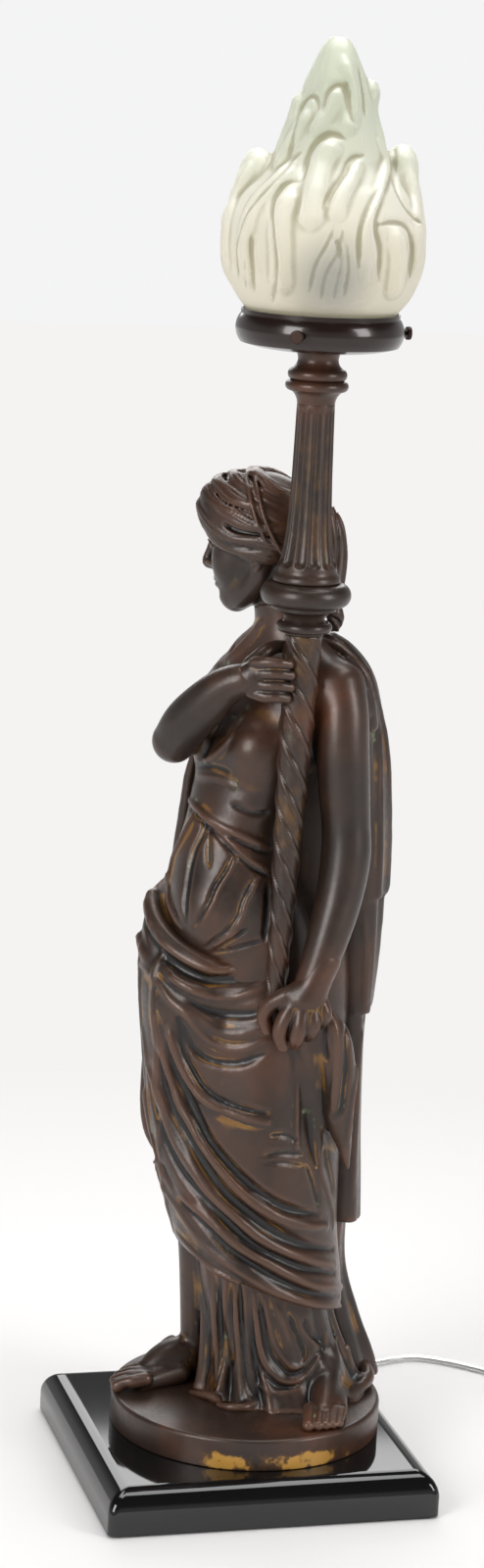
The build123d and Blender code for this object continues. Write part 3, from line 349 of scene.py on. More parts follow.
mantle = Clay((-98, -60, 96), (104, 106, 424), 1.45)
mantle.stack([
    (96, 18, 15, 53, 54, 0), (118, 15, 17, 55, 56, 0), (140, 11, 18, 57, 57, 0),
    (172, 6, 20, 58, 58, 0), (214, 0, 22, 63, 57, 0), (256, -4, 25, 67, 55, 0),
    (296, -8, 28, 70, 52, 0), (335, -10, 31, 73, 49, 0), (366, -11, 31, 72, 47, 0),
    (400, -11, 31, 68, 46, 0), (420, -11, 31, 66, 45, 0),
])
# The standing leg's thigh and knee press the cloth forward
mantle.chain([(6, -1, 330, 22), (8, -8, 262, 21), (13, -13, 205, 17)], soft=14)
mantle.chain([(-46, 10, 330, 26), (-46, 14, 260, 20), (-38, 20, 190, 15)], soft=14)
mantle.trim((-12, 30, 388), (0.12, -0.62, 1), soft=3)
mantle.trim((10, 18, 139), (-0.37, -0.05, -1), soft=2)

ROLLS = [
    ([(-77, 408), (-71, 392), (-62, 380), (-51, 371), (-40, 364.5), (-31, 361), (-22, 361)], 6.0,
     0.45),
    ([(-77, 389), (-71, 378), (-60, 369.5), (-49, 362.5), (-37, 358), (-27, 356.5), (-19.5, 359),
     (-15.5, 363), (-5, 365), (4, 368)], 1.7, 0.1),
    ([(-85, 380), (-73, 362), (-60, 351), (-46, 344), (-33, 340)], 4.4, 0.45),
    ([(-59, 350), (-46, 342.5), (-32.5, 338), (-16.5, 338.5), (-6, 342), (4, 346.5)], 1.6, 0.1),
    ([(-81, 368), (-66, 350), (-54, 338), (-44, 328), (-33, 318), (-20, 312), (-6, 313), (6, 318)],
     5.6, 0.55),
    ([(-81, 360), (-68, 345.5), (-60.5, 334.5), (-49.5, 325.5), (-44, 319), (-36.5, 311),
     (-27, 304.5), (-14.5, 301.5), (-4, 303.5), (6.5, 309)], 2.0, 0.1),
]
ROLL_HOLLOWS = [
    ([(-80, 391), (-68, 368), (-50, 355), (-30, 350), (-8, 353), (8, 360)], 5.0),
    ([(-80, 370), (-62, 346), (-48, 333), (-30, 327), (-5, 327), (10, 333)], 3.4),
    ([(-54, 322), (-44, 303), (-30, 293), (-10, 292), (8, 300)], 2.4),
]
FOLDS = [
    ([(-59.5, 309.5), (-53.5, 293), (-43, 276.5), (-31.5, 263), (-24, 258.5)], 2.0),
    ([(4, 198.5), (21, 185), (40.5, 178.5), (56, 177)], 1.8),
    ([(-61, 316), (-54, 296), (-46, 280), (-35, 265.5), (-23, 259), (-10, 254.5), (0, 251.5),
     (12, 250)], 2.4),
    ([(-70, 322), (-63, 296), (-52, 263), (-42, 247), (-32, 230), (-17.5, 213), (-2, 197.5),
     (10, 187.5), (23, 180.5), (38, 175.5), (57, 178)], 2.7),
    ([(-77, 312), (-72, 285), (-63, 263), (-58, 247), (-50, 230), (-38, 213), (-27, 197), (-7, 180),
     (13, 163.5), (33, 155.5), (50, 151.5), (64, 150)], 2.9),
    ([(-76, 272), (-70, 247), (-64, 226), (-55, 206), (-42, 191), (-28, 180), (-10, 163.5),
     (3, 154.5), (20, 146.5), (32, 140.5), (50, 133.5), (70, 134)], 2.7),
    ([(-66, 218), (-58, 200), (-47, 184), (-34, 166), (-20, 152), (2, 138), (22, 128), (48, 120),
     (70, 119)], 2.0),
]
FOLD_HOLLOWS = [
    ([(-60, 304), (-53, 282), (-44, 265), (-36, 249), (-27, 233), (-12, 216), (3, 202.5), (15, 194),
     (30, 188), (50, 186)], 4.6),
    ([(-68, 300), (-57, 264), (-50, 248), (-39, 230), (-28, 213.5), (-15, 197), (5, 181),
     (25, 168.5), (45, 162), (62, 161)], 4.8),
    ([(-74, 290), (-68, 262), (-62, 244), (-56, 228), (-46, 210.5), (-33, 196), (-17, 180.5),
     (2, 164), (20, 155), (40, 146.5), (64, 143)], 4.2),
    ([(-68, 240), (-62, 220), (-54, 203), (-44, 189), (-30, 175), (-12, 158), (5, 147.5), (25, 136),
     (50, 127.5), (68, 127)], 3.2),
    ([(-55, 320), (-49, 300), (-41, 284), (-32, 272), (-20, 264), (-4, 259), (12, 257)], 2.2),
]
mantle.strokes(FOLD_HOLLOWS, swell=1.15, sink=0.6, soft=1.8, cut=True)
mantle.strokes(FOLDS, swell=0.72, sink=0.12, soft=4.0)
mantle.strokes(ROLL_HOLLOWS, sink=0.7, soft=3.0, cut=True)
for line, width, sink in ROLLS:
    mantle.stroke(line, width, sink=sink, soft=3.2, taper=(0.7, 0.2))

# Deep fold beside the thigh, the creases behind the knee, and the hem's turned edge
mantle.stroke([(34, 306), (37, 286), (40.5, 264), (43, 245), (47, 222)], 4.4, sink=0.6, soft=4,
    cut=True)
mantle.stroke([(29, 297), (31, 270), (32, 245), (34, 226)], 2.0, sink=0.3)
mantle.stroke([(46, 236), (50, 218), (55, 204), (60, 188), (61, 176)], 2.4, sink=0.3)
mantle.stroke([(50, 236), (57, 215), (61, 198)], 3.0, sink=0.6, cut=True)
mantle.stroke([(40, 222), (46, 206), (50, 192)], 2.6, sink=0.5, cut=True)
mantle.stroke([(14, 241), (24, 242.5), (33, 238)], 1.8, sink=0.5, cut=True)
mantle.stroke([(10, 226), (22, 228.5), (38, 229)], 2.0, sink=0.6, cut=True)
mantle.stroke([(12, 221.5), (24, 222.5), (38, 221)], 1.7, sink=0.5, cut=True)
mantle.stroke([(-48, 168), (-40, 159), (-30, 149), (-20, 140), (-8, 134.5), (5, 126), (15, 121),
    (30, 114.5), (45, 110), (60, 108.5), (74, 111)], 1.8, sink=0.2)
# Folds round the back and the far side
for angle in range(60, 210, 17):
    mantle.stroke([(angle, 372), (angle + 8, 300), (angle + 4, 220), (angle - 3, 150)], 3.4,
        sink=0.55, side="round")

# The end of the mantle that falls from the left hand
mantle.chain([
    (44, -20, 334, 9), (53, -17, 318, 12), (58, -15, 292, 12), (60, -13, 262, 9.5),
    (65, -11, 240, 5), (68, -10, 224, 1.6),
], soft=6)
mantle.chain([
    (33, -20, 332, 7), (35, -18, 314, 8), (39, -14, 292, 6.6), (42, -11, 270, 5.2),
    (44.5, -9, 250, 3.6), (46.5, -7, 230, 1.6),
], soft=7)
mantle.stroke([(50, 352), (60, 343), (68, 335), (72, 325), (73, 312), (71, 290), (69, 262),
    (68.5, 240)], 2.2, sink=0.25, soft=2)
mantle.stroke([(53, 330), (56, 312), (57, 290), (56, 262)], 2.6, sink=0.3, soft=2)
mantle.stroke([(61, 328), (64, 300), (63, 275), (62, 262), (57, 256)], 3.0, sink=0.6, cut=True)
mantle.stroke([(50, 254), (57, 241), (63, 230), (68, 223)], 1.8, sink=0.3)
mantle.stroke([(46, 330), (47, 312), (50, 296)], 2.6, sink=0.6, cut=True)

# ---------------------------------------------------------------- underskirt and feet


def skirt_ripple(angle, z):
    """Upright folds of the fine underskirt, deeper towards the hem."""
    turn = np.radians(angle)
    deep = np.clip((150 - z) / 60, 0.3, 1.25)
    drift = 0.012 * (z - 90)
    wave = np.cos(15 * turn + 2.0 * drift) + 0.45 * np.cos(26 * turn + 1.1 + 3 * drift)
    swung = np.exp(-(((angle + 66) / 30) ** 2))
    return deep * (1 - 0.85 * swung) * (2.2 * wave)


underskirt = Clay((-95, -72, 49), (108, 104, 172), 1.35)
underskirt.stack([
    (50, 31, 17, 62, 58, 0), (58, 29, 18, 57, 52, 0), (76, 25, 18, 51, 46, 0),
    (104, 19, 19, 46, 43, 0), (136, 13, 20, 46, 42, 0), (168, 9, 20, 46, 42, 0),
], ripple=skirt_ripple)
SKIRT_PLEATS = [
    [(-20, 142), (-19, 110), (-17, 80), (-20, 58), (-22, 42)],
    [(-12, 138), (-11, 108), (-8, 78), (-12, 56), (-14, 40)],
    [(-5, 133), (-3, 105), (0, 78), (2, 58), (4, 40)],
    [(1, 130), (4, 104), (8, 80), (12, 62), (22, 54), (34, 53), (44, 58)],
    [(8, 126), (11, 104), (15, 84), (22, 70), (32, 62), (42, 62), (50, 70), (56, 82)],
    [(16, 122), (20, 104), (26, 88), (34, 76), (42, 72), (50, 80), (57, 92)],
    [(24, 118), (30, 104), (36, 90)],
    [(67, 100), (68, 84), (72, 66), (77, 50)],
    [(60, 100), (60, 86), (56, 72), (50, 60)],
    [(74, 105), (77, 88), (80, 70)],
]
SKIRT_GROOVES = [
    [(-15.5, 140), (-14.5, 108), (-12, 78), (-16, 54), (-18, 40)],
    [(-8, 136), (-7, 106), (-4, 78), (-5, 56), (-5, 40)],
    [(-2, 132), (1, 104), (4, 78), (8, 58), (14, 46)],
    [(5, 128), (8, 104), (12, 80), (20, 65), (32, 57), (44, 60)],
    [(12, 124), (16, 104), (20, 86), (28, 74), (38, 67), (48, 74), (56, 88)],
    [(34, 112), (42, 94), (46, 84), (44, 76)],
    [(44, 108), (52, 96), (58, 92)],
]
underskirt.strokes([(line, 2.4) for line in SKIRT_GROOVES], sink=0.6, soft=1.6, cut=True)
underskirt.strokes([(line, 1.7) for line in SKIRT_PLEATS], sink=0.35, soft=1.6)
# Bits of the hem that spread on the plinth
underskirt.chain([
    (-32, -9, 54, 1.6), (-26, -15, 55, 2.6), (-19, -20, 56, 3), (-12, -26, 55, 2.4),
], soft=4)
underskirt.chain([(-12, -31, 54, 2), (-4, -36, 55, 3), (6, -36, 55.5, 3), (12, -30, 56, 3)], soft=4)
underskirt.chain([(78, -8, 57, 4), (88, 10, 58, 4.5), (92, 26, 60, 5), (88, 45, 61, 5)], soft=6)
underskirt.chain([(-57, 44, 57, 4), (-53, 44, 67, 4), (-48, 42, 73, 3)], soft=3)

# Bare right lower leg and foot, turned to the left
underskirt.chain([
    (-34, 27, 172, 15), (-32, 25, 146, 14), (-32, 24, 120, 12), (-32, 24, 98, 10.6),
    (-31, 25, 82, 10.6), (-28, 28, 66, 11),
], soft=2.5)
underskirt.chain([
    (-28, 26, 66, 11), (-42, 20, 70.5, 12.6), (-54, 14, 66.5, 11.6), (-64, 8, 61, 8.2),
    (-69, 5, 58.5, 6),
], soft=4)
underskirt.chain([(-42, 10, 61, 8.5), (-57, 1, 59, 7.4), (-66, -7, 57.5, 5.4)], soft=4)
underskirt.chain([(-20, 30, 60, 8), (-34, 26, 59, 8)], soft=4)
# Toes as (v, how far left the tip is, level, thickness)
RIGHT_TOES = [
    (-13, -85, 57.6, 4.9), (-4.5, -87, 58.4, 4.0), (2, -85, 59.4, 3.7), (8, -81.5, 60.4, 3.5),
    (13.5, -76.5, 61.2, 3.3),
]
for v, tip, level, thick in RIGHT_TOES:
    underskirt.chain([
        (-64, 0.8 * v, 62, thick), (tip + 13, v, level + 3.4, thick),
        (tip + 7, v, level + 2.4, thick - 0.6), (tip + 1.5, v, level - 0.6, thick),
    ], soft=0.7, step=1.5)
# Left foot, towards the viewer
underskirt.chain([(60, 0, 78, 12), (61, -14, 68, 11), (61, -30, 63, 9.5), (60, -44, 59, 8)], soft=4)
underskirt.chain([(70, -14, 60, 7), (71, -36, 58.5, 6.5)], soft=5)
for place, u in enumerate([50.5, 57.5, 63, 68, 72.5]):
    thick = 4.6 - 0.42 * place
    tip = -66 + 1.6 * place
    underskirt.chain([
        (u + 1, -44, 60, thick + 0.6), (u, tip + 8, 58, thick), (u - 0.5, tip, 56.6, thick - 0.4),
    ], soft=1.2)
underskirt.trim((0, 0, CLOTH_FOOT), (0, 0, -1), soft=0.5)

# ---------------------------------------------------------------- torso and arms

torso = Clay((-88, -36, 336), (80, 112, 606), 1.3)
torso.stack([
    (336, -10, 31, 64, 44, -20), (366, -13, 30, 57, 41, -28), (400, -19, 28, 51, 39, -28),
    (430, -23, 28, 41, 35, -30), (455, -21, 30, 36, 31, -33), (480, -14, 35, 40, 33, -36),
    (506, -5, 40, 46, 35, -38), (531, 3, 43, 51, 34, -40), (556, 6, 45, 52, 30, -42),
    (575, 7, 46, 42, 23, -42), (590, 6, 47, 24, 18, -42), (604, 4, 47, 17, 16, -42),
])
torso.blob((-10, 14, 510), (19, 19, 18), soft=14)
torso.blob((-34, 33, 507), (18, 18, 17), soft=14)
torso.blob((-31, 8, 398), (26, 24, 26), soft=16)
torso.chain([(8, 47, 576, 19), (4, 46, 594, 15.5), (0, 46, 606, 15)], soft=9)

TORSO_GROOVES = [
    ([(-31, 543), (-37, 530), (-42, 516), (-47, 503)], 4.5),
    ([(-52, 498), (-46, 500), (-36, 499), (-26, 496)], 2.0),
    ([(-53, 472), (-44, 463), (-33, 455), (-20, 449), (-8, 444), (3, 440)], 2.0),
    ([(-43, 461), (-32, 451.5), (-20.5, 440.5), (-10, 432), (3, 424.5)], 2.6),
    ([(-41, 461), (-43, 451.5), (-47.5, 441), (-50, 429.5), (-51.5, 415.5), (-52.5, 402),
     (-51, 390.5)], 3.8),
    ([(-38, 456.5), (-38.5, 449.5), (-38.5, 441.5), (-37.5, 430)], 1.9),
    ([(-22, 438), (-25, 428.5), (-29, 421.5), (-33.5, 413.5), (-36, 404), (-41.5, 394.5),
     (-45.5, 386)], 1.9),
    ([(-6, 424), (-10, 414.5), (-14, 405), (-15.5, 396), (-22, 386.5), (-29.5, 379), (-37, 373)],
     1.9),
    ([(-30, 372), (-22.5, 377), (-15, 382), (-8.5, 388)], 1.4),
    ([(-32, 369.5), (-19, 372.5), (-6, 377), (3, 379.5)], 1.4),
    ([(-66, 428), (-63.5, 415), (-61.5, 402), (-56, 390)], 2.0),
    ([(3, 420), (4, 400), (3, 380)], 3.0),
    ([(-25, 590), (-30, 578), (-38, 566)], 1.6),
    ([(2, 470), (-10, 468), (-24, 474)], 2.0),
]
TORSO_RIDGES = [
    ([(-20, 536), (-27, 520), (-35, 509), (-43, 503)], 1.8),
    ([(-33, 538), (-38, 524), (-44, 510)], 1.4),
    ([(-49, 492.5), (-40.5, 492), (-32.5, 491), (-27, 489), (-23, 485.5)], 1.4),
    ([(-55.5, 477.5), (-48, 470), (-39, 463), (-30, 457.5), (-18.5, 453), (-7, 448.5), (3, 444.5)],
     2.3),
    ([(-44.5, 465), (-33, 455.5), (-21.5, 445), (-11, 436), (3, 429)], 1.4),
    ([(-49, 466), (-55, 452), (-61.5, 436), (-63.5, 419.5), (-61.5, 402.5), (-58, 391.5)], 2.6),
    ([(-19.5, 437), (-22.5, 428), (-26.5, 421), (-30.5, 413), (-33.5, 404), (-38.5, 394)], 1.3),
    ([(-3, 424), (-7, 414.5), (-11.5, 405), (-13, 396), (-19, 386)], 1.3),
    ([(-68.5, 431), (-66.5, 419.5), (-65, 408), (-61.5, 397), (-54.5, 385.5)], 1.5),
    ([(-31, 374.5), (-24, 379.5), (-17, 384.5)], 1.1),
    ([(-10, 600), (-17, 590), (-27, 578), (-37, 568)], 2.6),
    ([(-12, 594), (-20, 582), (-29, 572)], 1.6),
]
torso.strokes(TORSO_GROOVES, sink=0.55, soft=1.8, cut=True)
torso.strokes(TORSO_RIDGES, sink=0.2, soft=2.8)

# Right arm, raised across the body
torso.chain([
    (-26, 74, 548, 16.5), (-41, 54, 533, 15.5), (-55, 34, 518, 14.5), (-65, 18, 511, 13.5),
], soft=5)
torso.chain([
    (-66, 17, 512.5, 14.4), (-57, 9, 527, 16.4), (-45, 1, 542, 15.6), (-33, -6, 555, 13.2),
    (-22, -11, 561, 11.5), (-15, -13, 562, 10),
], soft=4)
# Left arm, hanging to the foot of the staff
torso.chain([
    (45, 14, 556, 15.5), (47.5, 9, 540, 17.6), (49, 5, 515, 18.2), (51.5, 3, 488, 17.6),
    (54, 1, 464, 16.6), (55, -2, 442, 17), (52, -8, 416, 16), (46, -17, 390, 14.4),
    (39.5, -23, 368, 12.4), (34, -27, 354, 10.5),
], soft=5)
torso.blob((36, 28, 556), (25, 26, 18), soft=10)

# ---------------------------------------------------------------- cloak


def cloak_ripple(angle, z):
    """Broad upright folds down the back."""
    turn = np.radians(angle)
    return 1.6 * np.cos(14 * turn + 0.01 * z) + 1.1 * np.cos(23 * turn + 1.3 - 0.008 * z)


cloak = Clay((-90, 14, 49), (112, 112, 606), 1.75)
CLOAK_LAYERS = [
    [(586, 16, 56, 22, 16, 0), (578, 17, 58, 34, 23, 0), (562, 17, 58, 48, 28, 0),
     (540, 14, 60, 59, 33, 0), (500, 13, 60, 67, 37, 0), (450, 12, 58, 73, 39, 0),
     (403, 11, 57, 75, 41, 0)],
    [(425, 10, 56, 72, 41, 0), (370, 8, 55, 74.5, 42, 0), (321, 5, 54, 76, 42, 0)],
    [(345, 1, 54, 75, 41, 0), (280, 0, 52, 77, 42, 0), (232, 1, 52, 77, 42, 0),
     (205, 7, 51, 72, 43, 0), (169, 18, 51, 62, 43, 0)],
    [(195, 16, 51, 55, 41, 0), (140, 20, 52, 50, 38, 0), (100, 24, 52, 57, 37, 0),
     (70, 27, 52, 66, 39, 0), (50, 30, 52, 69, 40, 0)],
]
for layer in CLOAK_LAYERS:
    cloak.stack(layer, soft=1.2, ripple=cloak_ripple)
cloak.trim((87, 30, 0), (-0.136, -0.99, 0), soft=3)
CLOAK_EDGES = [
    ([(73, 535), (76, 500), (79, 440), (79, 405)], 1.8),
    ([(70, 402), (73, 370), (74, 330)], 2.0),
    ([(74, 330), (72, 300), (73, 260), (73, 200)], 2.0),
]
cloak.strokes(CLOAK_EDGES, sink=0.4, soft=2)
# A pleat down the back as (degrees past its own angle, height), and the valley beside it
PLEAT = [(0, 560), (3, 480), (1, 380), (4, 250), (1, 120), (3, 64)]
VALLEY = [(6.5, 540), (9, 440), (7, 300), (9, 180), (7, 80)]
for angle in range(24, 170, 13):
    pleat, valley = ([(angle + past, z) for past, z in line] for line in (PLEAT, VALLEY))
    cloak.stroke(pleat, 3.4, sink=0.45, side="round", soft=3)
    cloak.stroke(valley, 4.2, sink=0.62, side="round", soft=3, cut=True)
# The bunched cloth over the left shoulder
cloak.chain([
    (24, 44, 574, 10), (40, 35, 571, 8.5), (53, 28, 562, 8), (62, 27, 547, 7), (67, 30, 528, 6),
], soft=4)
cloak.chain([
    (28, 38, 582, 3.6), (42, 30, 580, 3.2), (54, 24, 572, 3), (63, 23, 560, 2.8),
    (68, 26, 540, 2.4),
], soft=2)
cloak.chain([
    (28, 32, 577, 3.2), (41, 24, 574, 3), (52, 18, 566, 2.8), (60, 18, 553, 2.4),
    (65, 22, 536, 2.2),
], soft=2)
cloak.chain([
    (31, 26, 570, 2.8), (41, 19, 568, 2.6), (51, 14, 560, 2.4), (57, 14, 548, 2.2),
], soft=2)
cloak.trim((0, 0, CLOTH_FOOT), (0, 0, -1), soft=0.5)

# ---------------------------------------------------------------- head and hair

HEAD_CENTRE = np.array((-13.0, 45.0, 650.5))
HEAD_AWAY = math.radians(20)
HEAD_TILT = math.radians(8)
HEAD_SCALE = 0.96
FORWARD = np.array((-math.cos(HEAD_AWAY), math.sin(HEAD_AWAY), 0.0))
NEAR = np.array((-math.sin(HEAD_AWAY), -math.cos(HEAD_AWAY), 0.0))
HEAD_UP = FORWARD * math.sin(HEAD_TILT) + np.array((0, 0, math.cos(HEAD_TILT)))
HEAD_FORWARD = FORWARD * math.cos(HEAD_TILT) - np.array((0, 0, math.sin(HEAD_TILT)))


def on_head(points, side=1):
    """Points (forward, sideways, up, radius) of the head's own frame in the figure's frame."""
    points = np.asarray(points, float)
    placed = HEAD_CENTRE + HEAD_SCALE * (
        points[:, :1] * HEAD_FORWARD + side * points[:, 1:2] * NEAR + points[:, 2:3] * HEAD_UP
    )
    return np.column_stack((placed, points[:, 3] * HEAD_SCALE))


HEAD_AIM = {"turn": -math.degrees(HEAD_AWAY), "lean": -math.degrees(HEAD_TILT)}


def head_blob(clay, x, y, h, radii, **how):
    """An ellipsoid on both sides of the head's middle plane, or one on it."""
    for side in (1, -1) if y else (1,):
        place = on_head([(x, y, h, 1)], side)[0, :3]
        clay.blob(place, [r * HEAD_SCALE for r in radii], **HEAD_AIM, **how)


def head_chain(clay, points, soft=2.0, cut=False, both=True):
    """A rod on the head, and its mirror image."""
    for side in (1, -1) if both else (1,):
        clay.chain(on_head(points, side), soft=soft, cut=cut, step=1.5)


HEAD_LOW, HEAD_HIGH, HEAD_STEP = (-64, 4, 588), (56, 88, 704), 0.95
head = Clay(HEAD_LOW, HEAD_HIGH, HEAD_STEP)
head_blob(head, 0, 0, 8, (38, 28.5, 34))
head_blob(head, 15, 0, -16, (22, 21, 30), soft=8)
head_chain(head, [(-8, 20, -14, 8), (-3, 19.5, -27, 7), (10, 13.5, -39, 6.5), (23, 4, -44, 6)],
    soft=9)
head_blob(head, 26, 0, -40, (8, 8.5, 7.5), soft=6)
head_blob(head, 22, 14.5, -14, (10, 8, 11), soft=7)
head_chain(head, [(36, 3.5, 5, 2.0), (34.5, 12, 7.2, 2.2), (29, 20, 4.5, 2.0)], soft=4)
head_blob(head, 38, 11.5, -1.5, (5.5, 7.6, 5.0), soft=3.5, cut=True)
head_blob(head, 30.2, 11.6, -1.6, (5.2, 5.6, 5.0), soft=0.8)
head_chain(head, [(33.5, 5.5, -2, 0.8), (36.2, 11.2, 1.5, 0.9), (32.4, 17.6, -1.4, 0.8)], soft=0.8)
head_chain(head, [(33.5, 5.8, -2.8, 0.7), (35.4, 11, -4.8, 0.7), (32.2, 17, -2.6, 0.6)], soft=0.8)
head_chain(head, [(36, 0, 4, 2.4), (40, 0, -6, 2.6), (43.5, 0, -15.5, 3.4), (38, 0, -18.5, 3.0)],
    soft=3, both=False)
head_chain(head, [(40.5, 3.6, -15.6, 2.4), (36.5, 5.2, -16.5, 2.3)], soft=1.8)
head_chain(head, [(36.6, 0, -26.6, 1.9), (35.2, 5, -27.5, 1.8), (31.5, 10.5, -29.3, 1.1)], soft=2)
head_chain(head, [(36.0, 0, -32, 2.3), (34.2, 5, -31.9, 2.1), (31, 10, -30.4, 1.2)], soft=2)
head_chain(head, [(39.4, 0, -29.3, 0.7), (36.6, 5.5, -29.6, 0.7), (32.2, 11, -29.8, 0.6)], soft=0.9,
    cut=True)
head_chain(head, [(35.5, 5, -36.5, 2.0), (36.5, 0, -36.8, 2.2)], soft=3, cut=True)
head.chain([(6, 47, 584, 16.4), (3, 46, 597, 15.4), (-3, 46, 612, 14.6), (-8, 45, 632, 15)], soft=5)
# The ear, half under the hair
head_chain(head, [(-5, 27, -2, 2.0), (-9.5, 28.5, -5, 2.2), (-9, 28, -13, 2.0),
    (-5, 26.5, -19, 2.6)], soft=1.2)
head_blob(head, -4.5, 27.5, -9, (3.2, 2.0, 5.5), soft=1.0, cut=True)

hair = Clay(HEAD_LOW, HEAD_HIGH, HEAD_STEP)
head_blob(hair, -2, 0, 10, (41, 31.5, 36.5))
cut_at = on_head([(31, 0, 20, 1)])[0, :3]
hair.trim(cut_at, HEAD_FORWARD * 0.60 - HEAD_UP * 0.80, soft=3)
HAIR_LOCKS = [
    [(37, 1, 29, 4.5), (38.5, 10, 26, 5.6), (33, 20, 19, 5.4), (23, 27, 11, 5.2), (10, 30, 4, 5.0),
     (-4, 30, 0, 5.0), (-18, 27, -4, 5), (-30, 16, -8, 5)],
    [(33, 20, 12, 3.4), (25, 26, 5, 3.8), (13, 28.5, -3, 4.0), (0, 29, -8, 4.2),
     (-14, 27, -12, 4.4), (-28, 16, -14, 4.4)],
    [(36, 1, 36, 4.0), (33, 12, 34, 5.2), (23, 23, 27, 5.2), (9, 30, 19, 5.2), (-7, 31, 12, 5.2),
     (-22, 25, 6, 5), (-33, 12, 0, 5)],
    [(29, 1, 42, 4.0), (24, 13, 40, 5.0), (12, 23, 33, 5.2), (-3, 28, 26, 5.2), (-18, 25, 17, 5),
     (-31, 13, 9, 5)],
    [(18, 1, 45, 4.0), (10, 14, 42, 5.0), (-3, 22, 35, 5.0), (-16, 22, 27, 5), (-30, 12, 18, 5)],
    [(4, 1, 46.5, 4.0), (-6, 12, 43, 4.8), (-18, 17, 34, 4.8), (-31, 10, 26, 4.6)],
]


def strands(lock, phase):
    """Fine waving strands side by side along a lock, as rods of the head's frame."""
    line = along_line(lock, 2.0)
    share = np.linspace(0, 1, len(line))
    ahead = np.gradient(line[:, :3], axis=0)
    out = line[:, :3] - (0, 0, 8)
    out /= np.linalg.norm(out, axis=1, keepdims=True)
    aside = np.cross(ahead, out)
    aside /= np.maximum(np.linalg.norm(aside, axis=1, keepdims=True), 1e-6)
    for number, place in enumerate((-0.86, -0.43, 0.0, 0.43, 0.86)):
        wave = 0.9 * np.sin(2 * math.pi * 2.2 * share + phase + 0.9 * number)
        across = (place * line[:, 3] + wave)[:, None]
        lift = (line[:, 3] * (math.cos(place) - 0.12) - 0.5)[:, None]
        yield np.column_stack((line[:, :3] + aside * across + out * lift, np.full(len(line), 1.35)))


head_chain(hair, [(35, 0, 33, 5.4), (35, 9, 31, 5.6), (28, 21, 24, 5.6), (16, 28, 14, 5.2)],
    soft=3.0)
for number, lock in enumerate(HAIR_LOCKS):
    head_chain(hair, [(x, y, h, r - 0.9) for x, y, h, r in lock], soft=3.0)
    for strand in strands(lock, 1.7 * number):
        head_chain(hair, strand, soft=0.7)
# Knot of hair behind, hanging to the nape, with its own strands
hair.chain([
    (20, 48, 670, 13), (28, 50, 655, 13.5), (31.5, 51, 634, 12.5), (33, 52, 616, 9.5),
    (34, 52, 606, 7),
], soft=4)
hair.chain([(33, 50, 608, 6), (38, 48, 602, 6.5), (40, 48, 595, 5.6), (35, 48, 590, 4)], soft=1.5)
KNOT_STRANDS = [
    [(30, 684), (34, 668), (36, 650), (34, 630), (33, 612)],
    [(34, 680), (38.5, 664), (40, 645), (38, 625), (36, 610)],
    [(37, 676), (43, 660), (44, 640), (42, 620)],
    [(33, 606), (39, 603), (42, 597), (38, 591)],
]
for line in KNOT_STRANDS:
    hair.stroke(line, 1.7, sink=0.35, soft=0.8)
    hair.stroke([(u + 2.6, z) for u, z in line], 1.2, sink=0.55, soft=0.8, cut=True)
for near in (-1, 1):
    for shift in (-9, -3, 4, 10):
        parting = [
            (10 + 0.6 * shift, 48 + near * 10, 683 + 0.3 * shift, 1.0),
            (28 + shift * 0.9, 50 + near * 14, 660, 1.1),
            (33 + shift * 0.9, 51 + near * 13, 636, 1.1),
            (35 + shift * 0.5, 52 + near * 10.5, 610, 0.9),
        ]
        hair.chain(parting, soft=1.0, cut=True)
head.join(head.whole()[0], hair.field, 1.0)
# The ribbon goes twice round the hair
RIBBON = [(5, 0, 48.6), (2, 16, 44.5), (-4, 28, 34), (-9, 34, 19), (-14, 33, 3), (-20, 27, -13)]
for ahead in (0.0, -6.5):
    head_chain(head, [(x + ahead, y, h, 1.4) for x, y, h in RIBBON], soft=0.8)

# ---------------------------------------------------------------- hands

right_hand = Clay((-34, -38, 538), (26, 12, 592), 0.8)
right_hand.chain([(-28, -9, 560, 10.5), (-20, -12, 562, 10), (-14, -14, 563.5, 8)], soft=4)
right_hand.blob((-12, -15.5, 564), (9, 6.5, 13.5), soft=5)
# Fingers as (height, how far round the column the tip reaches)
for z, tip in [(576, 9.5), (568.5, 11), (560.5, 11), (553, 9)]:
    knuckle = (-13, -17, 564 + (z - 564) * 0.86, 4.5)
    finger = [knuckle, (-5, -21, z, 4.2), (3, -22.2, z + 0.3, 3.9), (tip, -19.5, z - 0.6, 3.5)]
    right_hand.chain(finger, soft=1.1)
right_hand.chain([
    (-16, -8, 572, 5.5), (-7, -4, 580, 5.0), (1, 3, 583, 4.6), (9, 8, 582, 4.0),
], soft=2.5)

left_hand = Clay((-8, -54, 292), (62, 0, 384), 0.8)
left_hand.chain([(43, -22, 374, 12.4), (37.5, -26, 359, 11.6), (32, -29, 348, 11)], soft=4)
left_hand.blob((31, -30.5, 344), (15, 8, 12), turn=12, lean=20, soft=6)
LEFT_FINGERS = [
    [(24, -33, 343, 6.6), (19, -36, 334, 6.0), (16.5, -37, 325, 5.2), (19, -36, 316, 4.4)],
    [(30.5, -35, 340, 6.6), (29.5, -38.5, 331, 6.0), (28, -38, 323, 5.4), (27.5, -34, 318, 4.8)],
    [(37.5, -32, 341, 6.2), (38.5, -35.5, 333, 5.8), (37.5, -34.5, 327, 5.2), (36, -31, 323, 4.6)],
    [(43.5, -28, 345, 5.6), (46, -30.5, 339, 5.2), (45.5, -29, 334, 4.8), (43, -26, 330, 4.2)],
]
for finger in LEFT_FINGERS:
    left_hand.chain(finger, soft=1.0, step=1.5)
